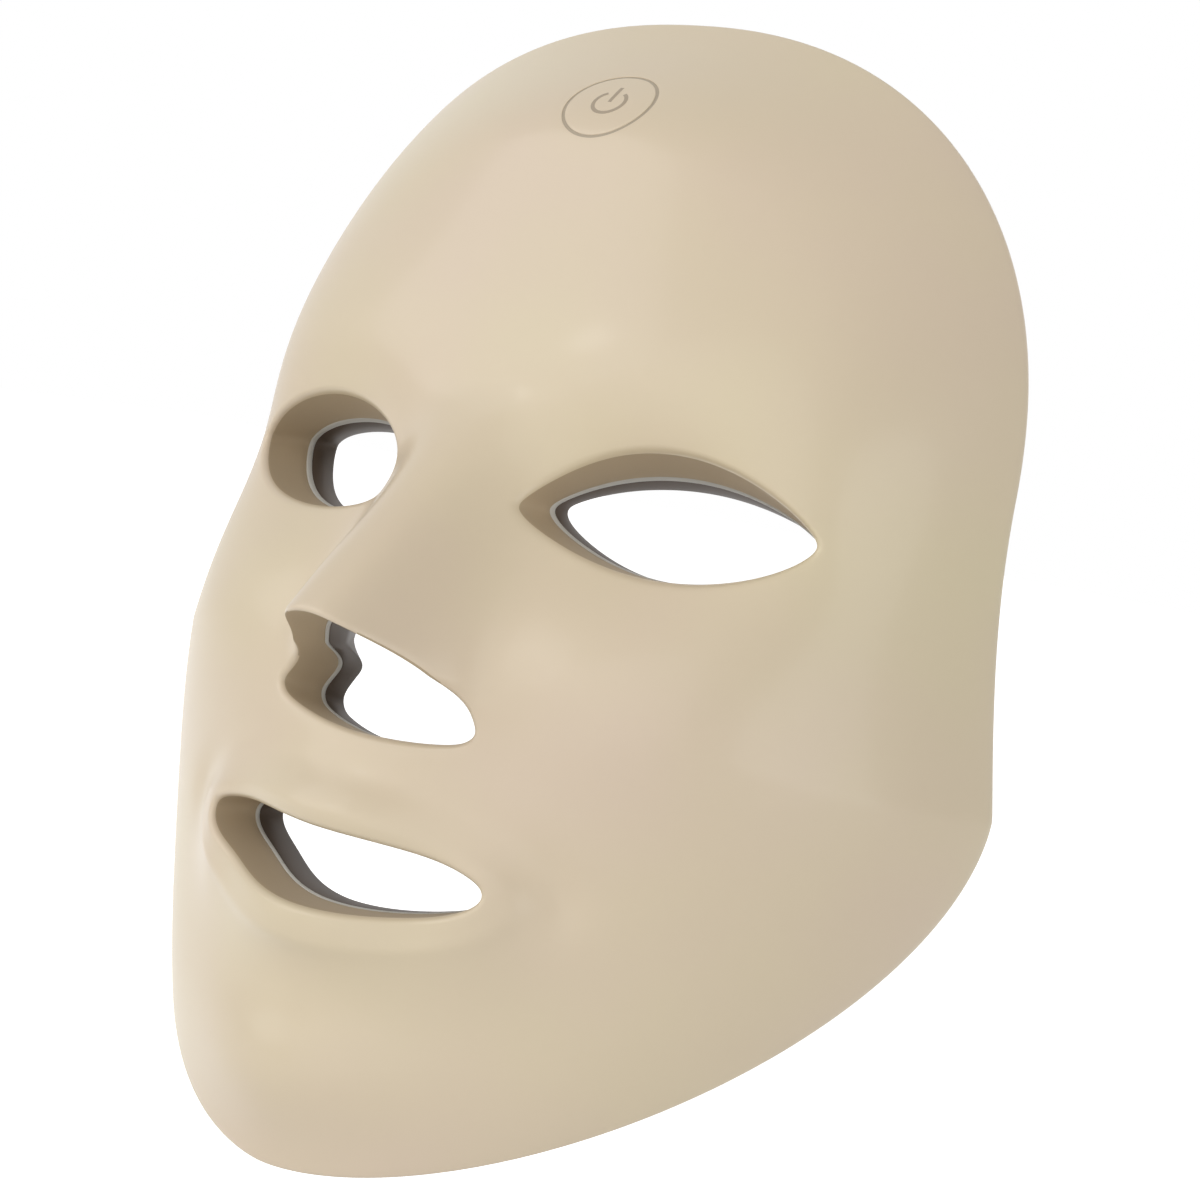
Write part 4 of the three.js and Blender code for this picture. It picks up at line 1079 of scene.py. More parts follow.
class FaceMaskColours(bpy.types.PropertyGroup):
    shell: FloatVectorProperty(
        name="Shell",
        description="Warm beige of the outer shell",
        subtype="COLOR",
        default=linear_colour("E1D5B0"),
        min=0,
        max=1,
    )
    shell_flow: FloatVectorProperty(
        name="Shell flow patches",
        description="Slightly pinker beige in the flow patches",
        subtype="COLOR",
        default=linear_colour("DFC9B6"),
        min=0,
        max=1,
    )
    seal: FloatVectorProperty(
        name="Seals",
        description="Light grey of the seals",
        subtype="COLOR",
        default=linear_colour("CFCDC6"),
        min=0,
        max=1,
    )
    rear: FloatVectorProperty(
        name="Rear shell",
        description="Smoke tint of the rear shell",
        subtype="COLOR",
        default=linear_colour("5E5146"),
        min=0,
        max=1,
    )


# Pieces


def rim_loop(depth, inset):
    angle = np.linspace(0, 2 * math.pi, RIM_STATIONS, endpoint=False) - math.pi / 2
    radius = rim_radius(angle) - inset
    flat = np.column_stack([radius * np.cos(angle), FACE_CENTRE + radius * np.sin(angle)])
    return layer_points(flat, depth)


def circle_plan(radius, count=ROUND_STATIONS):
    angle = np.linspace(0, 2 * math.pi, count, endpoint=False)
    return np.column_stack([radius * np.cos(angle), radius * np.sin(angle)])


def stadium_plan(width, height, up, count):
    """A bar's outline with round ends, at steps of equal angle on its ends."""
    angle = np.linspace(0, 2 * math.pi, count, endpoint=False)
    radius = height / 2
    shift = np.where(np.cos(angle) >= 0, 1, -1) * (width / 2 - radius)
    return np.column_stack([shift + radius * np.cos(angle), up + radius * np.sin(angle)])


BUTTON_FRAME = FaceFrame(0.0, BUTTON_LEVEL)
FLANGE_LOOP = circle_plan(CAP_FLANGE_RADIUS, FLANGE_STATIONS)
FLANGE_TOP = min(BUTTON_FRAME.layer_heights(FLANGE_LOOP, SHELL_WALL)) - WALL_GAP


def lip_front(opening):
    """Where an opening's dark lip starts: the beads at the nose and mouth show as thinner lines."""
    return EYE_LIP_DEPTH if opening.name.endswith("eye") else LOW_LIP_DEPTH


def flange_section(edge):
    """Depths and offsets along a flange: round from the face, down, round its end and back."""
    turns = np.linspace(0, math.pi / 2, FLANGE_TURN_STATIONS)
    return [
        *((edge * (1 - math.cos(t)), edge * (1 - math.sin(t))) for t in turns),
        *((depth, 0) for depth in TUNNEL_DEPTHS),
        (FLANGE_END_DEPTH - FLANGE_ROUNDING, 0),
        (FLANGE_END_DEPTH - FLANGE_ROUNDING_MIDDLE, FLANGE_ROUNDING_MIDDLE),
        (FLANGE_END_DEPTH, FLANGE_ROUNDING),
        (FLANGE_END_DEPTH, FLANGE_WALL),
        (FLANGE_MIDDLE_DEPTH, FLANGE_WALL),
        (SHELL_WALL, FLANGE_WALL),
    ]


def lip_section(front):
    """Depths and offsets round a dark lip that starts at a depth, with its bare edges rounded."""
    step, tuck = LIP_ROUNDING_MIDDLE
    back_step, back_tuck = LIP_BACK_ROUNDING_MIDDLE
    return [
        (REAR_BACK_DEPTH, LIP_WALL),
        (TUNNEL_DEPTH - LIP_ROUNDING, LIP_WALL),
        (TUNNEL_DEPTH - step, LIP_WALL - tuck),
        (TUNNEL_DEPTH, LIP_WALL - LIP_ROUNDING),
        (TUNNEL_DEPTH, LIP_BACK_ROUNDING),
        (TUNNEL_DEPTH - back_step, back_tuck),
        (TUNNEL_DEPTH - LIP_BACK_ROUNDING, 0),
        (LIP_MIDDLE_DEPTH, 0),
        (front + LIP_ROUNDING, 0),
        (front + step, tuck),
        (front, LIP_ROUNDING),
        (front, LIP_WALL),
        (REAR_FACE_DEPTH, LIP_WALL),
    ]


class FACEMASK_OT_front_shell(bpy.types.Operator):
    """Makes the glossy outer shell with its openings, rounded edges and button hole"""

    bl_idname = "facemask.front_shell"
    bl_label = "Front Shell"

    def execute(self, context):
        sizes = context.scene.face_mask_sizes
        rim = sizes.rim_radius / MM
        turned = rim * RIM_TURN_SHARE
        back = SHELL_WALL - RIM_BACK_EDGE
        outer_rim = rim_loop(0, rim)
        inner_rim = rim_loop(SHELL_WALL, SHELL_WALL + SKIN_BORDER)
        shape = Shape()
        shape.add_strips([
            *bend(outer_rim, rim_loop(0, 0), rim_loop(turned, turned), steps=5),
            rim_loop(back, back),
            rim_loop(SHELL_WALL, SHELL_WALL),
            inner_rim,
        ])
        ends = []
        section = flange_section(sizes.edge_radius / MM)
        for opening in OPENINGS:
            loops = [opening.loop(depth, offset) for depth, offset in section]
            shape.add_strips(loops)
            ends.append((loops[0], loops[-1]))
        ends.append(self.add_button_hole(shape, sizes.cap_edge / MM))
        outer_holes, inner_holes = zip(*ends)
        shape.add_skin(0, outer_rim, outer_holes, sizes.skin_spacing / MM)
        shape.add_skin(SHELL_WALL, inner_rim, inner_holes, SHELL_BACK_SPACING)
        shell = shape_object("outer_shell", shape)
        self.raise_lip_border(shell)
        settle(shell, "mask", "beige_shell", finish(context, "shell"), "front_shell")
        # The walls inside the openings get a darker colour as painted shade, and a duller texture
        self.texture_and_shade_walls(shell, finish(context, "opening_wall_painted_shade"))
        return {"FINISHED"}

    def texture_and_shade_walls(self, shell, material):
        """Gives the walls inside the openings their duller texture and a darker colour, which is painted
        shade.
        """
        depths = np.linspace(WALL_TEXTURE_SHADE_START, FLANGE_END_DEPTH, WALL_TEXTURE_SHADE_LOOPS)
        walls = np.vstack([opening.loop(depth, 0) for opening in OPENINGS for depth in depths])
        tree = kdtree.KDTree(len(walls))
        for index, point in enumerate(walls):
            tree.insert(point, index)
        tree.balance()
        shell.data.materials.append(material)
        for face in shell.data.polygons:
            if tree.find(face.center / MM)[2] < WALL_TEXTURE_SHADE_REACH:
                face.material_index = 1

    def raise_lip_border(self, shell):
        """Lifts the face along a line round the mouth, and sinks it a little above the upper lip."""
        half_width, level, half_height = LIP_BORDER
        line = mouth_trace(half_width, level, half_height)[::LIP_BORDER_STEP]
        points = np.array([vertex.co for vertex in shell.data.vertices]) / MM
        reach = LIP_GROOVE_OFFSET + 3 * LIP_GROOVE_SPREAD
        near = np.abs(points[:, 0]) < half_width + reach
        near &= np.abs(points[:, 2] - level) < half_height + MOUTH_RISE + reach
        near &= np.abs(points[:, 1] - layer_y(points[:, 0], points[:, 2], 0)) < SKIN_TOLERANCE
        indices = np.nonzero(near)[0]
        flat = points[indices][:, [0, 2]]
        gaps = np.array([np.min(np.hypot(*(line - spot).T)) for spot in flat])
        outward = np.where(within(flat, line), -gaps, gaps)
        ridge = LIP_BORDER_RISE * np.exp(-((outward / LIP_BORDER_SPREAD) ** 2) / 2)
        from_groove = (outward - LIP_GROOVE_OFFSET) / LIP_GROOVE_SPREAD
        upper = smooth_share(np.clip((flat[:, 1] - level + LIP_GROOVE_FADE) / half_height, 0, 1))
        groove = LIP_GROOVE_DEPTH * upper * np.exp(-(from_groove**2) / 2)
        for index, rise in zip(indices.tolist(), (ridge - groove).tolist()):
            shell.data.vertices[index].co.y -= rise * MM

    def add_button_hole(self, shape, edge):
        radius = CAP_RADIUS + RING_WIDTH + 2 * RING_GAP
        collar_end = FLANGE_TOP + WALL_GAP
        hole = circle_plan(radius)
        collar = circle_plan(CAP_FLANGE_RADIUS + COLLAR_GAP)
        loops = [
            *BUTTON_FRAME.turned_edge(circle_plan(radius + edge), hole, 0, -edge, steps=4),
            BUTTON_FRAME.place(hole, collar_end),
            BUTTON_FRAME.place(collar, collar_end),
            BUTTON_FRAME.on_layer(collar, SHELL_WALL),
        ]
        shape.add_strips(loops)
        return loops[0], loops[-1]


class FACEMASK_OT_rear_shell(bpy.types.Operator):
    """Makes the smoke tinted shell on the wearer's side, with its lips, screw seats and socket slot"""

    bl_idname = "facemask.rear_shell"
    bl_label = "Rear Shell"

    def execute(self, context):
        face_inset = edge_inset(REAR_FACE_DEPTH)
        back_inset = edge_inset(REAR_BACK_DEPTH)
        rim_face = rim_loop(REAR_FACE_DEPTH, face_inset + SKIN_BORDER)
        rim_back = rim_loop(REAR_BACK_DEPTH, back_inset + SKIN_BORDER)
        turned = rim_loop(REAR_BACK_DEPTH - REAR_RIM_ROUNDING, back_inset - REAR_RIM_ROUNDING)
        shape = Shape()
        shape.add_strips([
            rim_face,
            rim_loop(REAR_FACE_DEPTH, face_inset),
            rim_loop(REAR_FACE_DEPTH + SKIN_BORDER, face_inset + SKIN_BORDER),
            *bend(turned, rim_loop(REAR_BACK_DEPTH, back_inset), rim_back, steps=3),
        ])
        ends = []
        for opening in OPENINGS:
            self.make_lip(opening, context)
            depths = (REAR_BACK_DEPTH, REAR_FACE_DEPTH)
            wall = [opening.loop(depth, LIP_WALL + LIP_SEAM) for depth in depths]
            shape.add_strips(wall)
            ends.append(wall)
        ends.extend(self.add_screw_seat(shape, x, z) for x, z in SCREW_PLACES)
        ends.append(self.add_socket_slot(shape))
        back_holes, face_holes = zip(*ends)
        shape.add_skin(REAR_FACE_DEPTH, rim_face, face_holes, REAR_FACE_SPACING)
        shape.add_skin(REAR_BACK_DEPTH, rim_back, back_holes, REAR_BACK_SPACING)
        shell = shape_object("inner_shell", shape)
        settle(shell, "mask", "smoke_shell", finish(context, "clear_smoke"), "rear_shell")
        return {"FINISHED"}

    def make_lip(self, opening, context):
        """The dark lip that lines an opening on the wearer's side."""
        shape = Shape()
        section = lip_section(lip_front(opening))
        shape.add_strips([opening.loop(depth, offset) for depth, offset in section], closed=True)
        lip = shape_object(f"{opening.name}_lip", shape)
        settle(lip, "mask", "smoke_shell", finish(context, "dark_smoke"), "rear_shell")

    def add_screw_seat(self, shape, x, z):
        seat = FaceFrame(x, z)
        floor = seat.height_at(REAR_BACK_DEPTH) + SCREW_HEAD_HEIGHT + WALL_GAP
        pad_top = floor + SCREW_PAD
        sink = circle_plan(SCREW_HEAD_RADIUS + WALL_GAP, SEAT_STATIONS)
        wide = circle_plan(SCREW_HEAD_RADIUS + WALL_GAP + SEAT_EDGE, SEAT_STATIONS)
        bore = circle_plan(SCREW_RADIUS + WALL_GAP, SEAT_STATIONS)
        pad = circle_plan(SCREW_PAD_RADIUS, SEAT_STATIONS)
        proud = seat.layer_heights(pad, REAR_FACE_DEPTH) + SCREW_PAD_RISE
        loops = [
            *seat.turned_edge(wide, sink, REAR_BACK_DEPTH, SEAT_EDGE, steps=3),
            seat.place(sink, floor),
            seat.place(bore, floor),
            seat.place(bore, pad_top),
            seat.place(pad, np.maximum(pad_top, proud)),
            seat.on_layer(pad, REAR_FACE_DEPTH),
        ]
        shape.add_strips(loops)
        return loops[0], loops[-1]

    def add_socket_slot(self, shape):
        width = SOCKET_WIDTH + 2 * WALL_GAP
        height = SOCKET_HEIGHT + 2 * WALL_GAP
        around = 2 * SEAT_EDGE
        slot = stadium_plan(width, height, SOCKET_Y, SLOT_STATIONS)
        wide = stadium_plan(width + around, height + around, SOCKET_Y, SLOT_STATIONS)
        loops = [
            *BUTTON_FRAME.turned_edge(wide, slot, REAR_BACK_DEPTH, SEAT_EDGE, steps=3),
            BUTTON_FRAME.on_layer(slot, REAR_FACE_DEPTH),
        ]
        shape.add_strips(loops)
        return loops[0], loops[-1]


class FACEMASK_OT_seals(bpy.types.Operator):
    """Makes the four soft light grey beads between the shells"""

    bl_idname = "facemask.seals"
    bl_label = "Seals"

    def execute(self, context):
        material = finish(context, "seal")
        for opening in OPENINGS:
            back = lip_front(opening) + SEAL_LAP
            middle = (SEAL_FRONT_DEPTH + back) / 2
            half = (back - SEAL_FRONT_DEPTH) / 2
            bead = [
                opening.loop(middle - half * math.cos(t), SEAL_TUCK - SEAL_CROWN * math.sin(t))
                for t in np.linspace(0, math.pi, SEAL_STATIONS)
            ]
            backs = [opening.loop(back, SEAL_WIDTH), opening.loop(SEAL_FRONT_DEPTH, SEAL_WIDTH)]
            shape = Shape()
            shape.add_strips([*bead, *backs], closed=True)
            seal = shape_object(f"{opening.name}_bead", shape, BEAD_SMOOTH_ANGLE)
            settle(seal, "mask", "seal_rubber", material, f"{opening.name}_seal")
        return {"FINISHED"}


class FACEMASK_OT_power_button(bpy.types.Operator):
    """Makes the flush round cap in the forehead, the power sign printed on it and its ring"""

    bl_idname = "facemask.power_button"
    bl_label = "Power Button"

    def execute(self, context):
        edge = context.scene.face_mask_sizes.cap_edge / MM
        radii = np.linspace(CAP_MIDDLE_RADIUS, CAP_RADIUS - edge, CAP_RINGS)
        rings = [circle_plan(radius) for radius in radii]
        rim, flange, post = (circle_plan(r) for r in (CAP_RADIUS, CAP_FLANGE_RADIUS, CAP_POST_RADIUS))
        flange_bottom = FLANGE_TOP - CAP_FLANGE_THICKNESS
        loops = [
            *(BUTTON_FRAME.on_layer(ring, 0) for ring in rings[:-1]),
            *BUTTON_FRAME.turned_edge(rings[-1], rim, 0, -edge, steps=4),
            BUTTON_FRAME.place(rim, FLANGE_TOP),
            BUTTON_FRAME.place(flange, FLANGE_TOP),
            BUTTON_FRAME.place(flange, flange_bottom),
            BUTTON_FRAME.place(post, flange_bottom),
            BUTTON_FRAME.place(post, flange_bottom - CAP_POST_LENGTH),
        ]
        shape = Shape()
        shape.add_strips(loops)
        for loop in (loops[0], loops[-1]):
            shape.add(loop, [tuple(range(len(loop)))])
        cap = shape_object("button_cap", shape)
        settle(cap, "button", "beige_shell", finish(context, "shell"), "power_button")
        settle(self.make_mark(), "button", "beige_shell", finish(context, "ink"))
        settle(self.make_ring(), "mask", "beige_shell", finish(context, "light_ring"))
        return {"FINISHED"}

    def make_ring(self):
        """The narrow ring round the cap, almost flush with the shell."""
        inner = circle_plan(CAP_RADIUS + RING_GAP)
        outer = circle_plan(CAP_RADIUS + RING_GAP + RING_WIDTH)
        corners = (inner, RING_DEPTH), (inner, RING_SINK), (outer, RING_SINK), (outer, RING_DEPTH)
        loops = [BUTTON_FRAME.on_layer(plan, 0, -sink) for plan, sink in corners]
        shape = Shape()
        shape.add_strips(loops, closed=True)
        return shape_object("button_ring", shape)

    def make_mark(self):
        """The power sign: an open ring and a bar, printed as a thin film on the cap."""
        gap = math.radians(MARK_HALF_GAP)
        turn = np.linspace(math.pi / 2 + gap, 5 * math.pi / 2 - gap, MARK_RING_STATIONS)
        ring = np.column_stack([MARK_RADIUS * np.cos(turn), MARK_RADIUS * np.sin(turn)])
        heights = np.linspace(0.0, MARK_BAR_LENGTH, MARK_BAR_STATIONS)
        shape = Shape()
        self.add_line(shape, ring)
        self.add_line(shape, np.column_stack([np.zeros(MARK_BAR_STATIONS), heights]))
        return shape_object("power_mark", shape)

    def add_line(self, shape, path):
        along = np.gradient(path, axis=0)
        along = along / np.linalg.norm(along, axis=1)[:, None]
        side = np.column_stack([-along[:, 1], along[:, 0]]) * MARK_HALF_LINE
        left, right = path + side, path - side
        low, top = MARK_FILM_LOW, MARK_FILM_TOP
        corners = (left, low), (left, top), (right, top), (right, low)
        rows = [BUTTON_FRAME.on_layer(plan, 0, lift) for plan, lift in corners]
        count = len(path)
        faces = []
        for row in range(len(rows)):
            for at in range(count - 1):
                here, there = row * count + at, (row + 1) % len(rows) * count + at
                faces.append((here, here + 1, there + 1, there))
        start = [row * count for row in range(len(rows))]
        faces.append(tuple(start))
        faces.append(tuple(at + count - 1 for at in reversed(start)))
        shape.add(np.vstack(rows), faces)


class FACEMASK_OT_case_screws(bpy.types.Operator):
    """Makes the four case screws with their cross recesses"""

    bl_idname = "facemask.case_screws"
    bl_label = "Case Screws"

    def execute(self, context):
        screw = self.make_screw()
        material = finish(context, "plated_steel")
        for number, (x, z) in enumerate(SCREW_PLACES, 1):
            seat = FaceFrame(x, z)
            place = seat.matrix(height=seat.height_at(REAR_BACK_DEPTH))
            twin = copied(screw, f"cross_screw_{number}", place)
            finish_mesh(twin, SHARP_ANGLE)
            settle(twin, "mask", "steel", material, f"case_screw_{number}")
        bpy.data.objects.remove(screw)
        return {"FINISHED"}

    def make_screw(self):
        """A pan head with a rounded edge, its shank and its point: the head's face is at zero."""
        screw = new_disc(SCREW_HEAD_RADIUS, 0, SCREW_HEAD_HEIGHT, SEAT_STATIONS)
        under_head = SCREW_HEAD_HEIGHT - PICK_TOLERANCE
        bpy.ops.object.mode_set(mode="EDIT")
        pick_edges(screw, lambda a, b: a.z < PICK_TOLERANCE and b.z < PICK_TOLERANCE)
        bpy.ops.mesh.bevel(offset=SCREW_HEAD_ROUNDING * MM, segments=4, profile=0.5)
        pick_faces(screw, lambda middle, normal: normal.z > FACING and middle.z > under_head)
        bpy.ops.mesh.inset(thickness=(SCREW_HEAD_RADIUS - SCREW_RADIUS) * MM)
        extrude((0, 0, SCREW_LENGTH - SCREW_RADIUS))
        extrude((0, 0, SCREW_RADIUS))
        bpy.ops.mesh.merge(type="CENTER")
        bpy.ops.object.mode_set(mode="OBJECT")
        for plan in ((RECESS_LENGTH, RECESS_WIDTH), (RECESS_WIDTH, RECESS_LENGTH)):
            cutter = new_box((*plan, RECESS_HEIGHT), (0, 0, 0))
            bpy.ops.object.mode_set(mode="EDIT")
            pick_faces(cutter, lambda middle, normal: normal.z > FACING)
            bpy.ops.transform.resize(value=(RECESS_TAPER, RECESS_TAPER, 1))
            bpy.ops.object.mode_set(mode="OBJECT")
            cut(screw, cutter)
        return screw


class FACEMASK_OT_charging_socket(bpy.types.Operator):
    """Makes the socket's drawn steel can, open to the wearer, with the tongue inside"""

    bl_idname = "facemask.charging_socket"
    bl_label = "Charging Socket"

    def execute(self, context):
        back = BUTTON_FRAME.height_at(REAR_BACK_DEPTH, up=SOCKET_Y + SOCKET_HEIGHT / 2)
        place = BUTTON_FRAME.matrix(0, SOCKET_Y, back)
        can = new_box((SOCKET_WIDTH, SOCKET_HEIGHT, SOCKET_LENGTH), (0, 0, SOCKET_LENGTH / 2))
        bpy.ops.object.mode_set(mode="EDIT")
        pick_edges(can, lambda a, b: abs(a.z - b.z) > SOCKET_EDGE_RISE)
        bpy.ops.mesh.bevel(offset=SOCKET_ROUNDING * MM, segments=8, profile=0.5)
        pick_faces(can, lambda middle, normal: normal.z < -FACING)
        bpy.ops.mesh.inset(thickness=SOCKET_WALL * MM)
        extrude((0, 0, SOCKET_LENGTH - SOCKET_FLOOR))
        bpy.ops.object.mode_set(mode="OBJECT")
        size = (TONGUE_WIDTH, TONGUE_THICKNESS, TONGUE_LENGTH)
        tongue = new_box(size, (0, 0, TONGUE_START + TONGUE_LENGTH / 2))
        bevel_all(tongue, TONGUE_EDGE)
        for piece, name, slot, key in (
            (can, "socket_can", "steel", "plated_steel"),
            (tongue, "socket_tongue", "black_plastic", "black_nylon"),
        ):
            piece.matrix_world = place
            piece.name = name
            finish_mesh(piece, SHARP_ANGLE)
            settle(piece, "mask", slot, finish(context, key), "charging_socket")
        return {"FINISHED"}


class FACEMASK_OT_strap_brackets(bpy.types.Operator):
    """Makes the two strap brackets inside the ear edges"""

    bl_idname = "facemask.strap_brackets"
    bl_label = "Strap Brackets"

    def execute(self, context):
        material = finish(context, "dark_smoke")
        edge = context.scene.face_mask_sizes.bracket_edge / MM
        for side, name in ((1, "left"), (-1, "right")):
            bracket = self.make_bracket(side, edge)
            bracket.name = f"{name}_strap_bar"
            finish_mesh(bracket, SHARP_ANGLE)
            settle(bracket, "mask", "smoke_shell", material, f"{name}_strap_bracket")
        return {"FINISHED"}

    def make_bracket(self, side, edge):
        length = STRAP_OPENING + 2 * STRAP_POST_SIDE
        size = (STRAP_BAR_WIDTH, STRAP_BAR_DEPTH, length)
        bracket = new_box(size, (side * STRAP_BAR_X, STRAP_BAR_Y, STRAP_LEVEL))
        bpy.ops.object.mode_set(mode="EDIT")
        for end in (-1, 1):
            bpy.ops.mesh.select_all(action="SELECT")
            level = STRAP_LEVEL + end * STRAP_OPENING / 2
            bpy.ops.mesh.bisect(plane_co=(0, 0, level * MM), plane_no=(0, 0, 1))
        face_x = side * (STRAP_BAR_X + STRAP_BAR_WIDTH / 2)
        for end in (-1, 1):
            level = STRAP_LEVEL + end * (STRAP_OPENING + STRAP_POST_SIDE) / 2
            reach = self.wall_x(level) - abs(face_x)
            pick_faces(
                bracket,
                lambda middle, normal: normal.x * side > FACING
                and abs(middle.x - face_x) < STRAP_PICK_ACROSS
                and abs(middle.z - level) < STRAP_PICK_UP,
            )
            extrude((side * (reach - STRAP_FOOT_START), 0, 0))
            extrude((side * STRAP_FOOT_LENGTH, 0, 0))
            foot = Vector((side * self.wall_x(level), STRAP_BAR_Y, level)) * MM
            bpy.ops.transform.resize(value=STRAP_FOOT_FLARE, center_override=foot)
        bpy.ops.object.mode_set(mode="OBJECT")
        bevel_all(bracket, edge, segments=3)
        return bracket

    def wall_x(self, level):
        """x at which the rear shell's wearer side passes the middle of the bracket."""
        across = np.linspace(STRAP_BAR_X, STRAP_SEARCH_END, STRAP_SEARCH_STEPS)
        y = layer_y(across, np.full(STRAP_SEARCH_STEPS, level), REAR_BACK_DEPTH)
        return float(np.interp(STRAP_BAR_Y, y, across))


class FACEMASK_OT_light_boards(bpy.types.Operator):
    """Makes the five curved light boards with their LED packages"""

    bl_idname = "facemask.light_boards"
    bl_label = "Light Boards"

    def execute(self, context):
        side = context.scene.face_mask_sizes.led_side / MM
        package = self.make_package(side, context)
        for name, board in LED_BOARDS.items():
            sheet = self.make_sheet(board, context)
            leds = [copied(package, "led", place) for place in self.led_places(board)]
            lights = joined(name.replace("led_board", "light_board"), [sheet, *leds])
            select_only(lights)
            bpy.ops.object.transform_apply(location=True, rotation=True, scale=True)
            bpy.ops.object.shade_smooth_by_angle(angle=math.radians(SHARP_ANGLE))
            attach(lights, "mask")
            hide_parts(name)
        bpy.data.objects.remove(package)
        return {"FINISHED"}

    def spot(self, board, u, v):
        """x and z of a board for two shares: along it and up it."""
        side, foot, head, bow, _, _ = board
        inner = lerp(foot[0], head[0], v**bow)
        outer = lerp(foot[1], head[1], v**bow)
        return side * lerp(inner, outer, u), lerp(foot[2], head[2], v)

    def led_places(self, board):
        columns, rows = board[4:]
        turn = Matrix.Rotation(math.pi, 4, "X")
        for row in range(rows):
            for column in range(columns):
                x, z = self.spot(board, (column + 0.5) / columns, (row + 0.5) / rows)
                seat = FaceFrame(x, z, LED_BOARD_DEPTH + LED_BOARD_THICKNESS)
                yield seat.matrix() @ turn

    def make_sheet(self, board, context):
        """A grid laid on the board's layer and given its thickness towards the wearer."""
        bpy.ops.object.select_all(action="DESELECT")
        columns, rows = LED_BOARD_GRID
        bpy.ops.mesh.primitive_grid_add(x_subdivisions=columns, y_subdivisions=rows, size=1)
        sheet = bpy.context.active_object
        for vertex in sheet.data.vertices:
            x, z = self.spot(board, vertex.co.x + 0.5, vertex.co.y + 0.5)
            vertex.co = layer_points([(x, z)], LED_BOARD_DEPTH)[0] * MM
        modifier = sheet.modifiers.new("Wall", "SOLIDIFY")
        modifier.thickness = LED_BOARD_THICKNESS * MM
        # The right cheek's grid is mirrored, which turns it over, so it thickens the other way
        modifier.offset = board[0]
        bpy.ops.object.modifier_apply(modifier=modifier.name)
        bpy.ops.object.mode_set(mode="EDIT")
        bpy.ops.mesh.select_all(action="SELECT")
        bpy.ops.mesh.normals_make_consistent(inside=False)
        bpy.ops.object.mode_set(mode="OBJECT")
        sheet.data.materials.append(finish(context, "white_board"))
        return sheet

    def make_package(self, side, context):
        """A white LED package with a round amber lens, sunk a little below zero."""
        middle = (LED_HEIGHT - LED_SUNK) / 2
        body = new_box((side, side, LED_HEIGHT + LED_SUNK), (0, 0, middle))
        bevel_all(body, LED_EDGE, segments=1)
        body.data.materials.append(finish(context, "white_board"))
        low, high = LED_HEIGHT - LENS_SUNK, LED_HEIGHT + LENS_HEIGHT
        lens = new_disc(side * LENS_SHARE, low, high, LENS_STATIONS)
        bevel_all(lens, LENS_EDGE, segments=1)
        lens.data.materials.append(finish(context, "led_lens"))
        return joined("package", [body, lens])


class FACEMASK_OT_inner_finishes(bpy.types.Operator):
    """Gives the boards, ribbons, battery and other inner pieces their finishes"""

    bl_idname = "facemask.inner_finishes"
    bl_label = "Inner Finishes"

    def execute(self, context):
        for row in frame["record"]["subparts"]:
            key = NODE_FINISHES.get(row["material_slot"])
            if key:
                node = frame["nodes"][row["node"]]
                node.data.materials.clear()
                node.data.materials.append(finish(context, key))
        return {"FINISHED"}


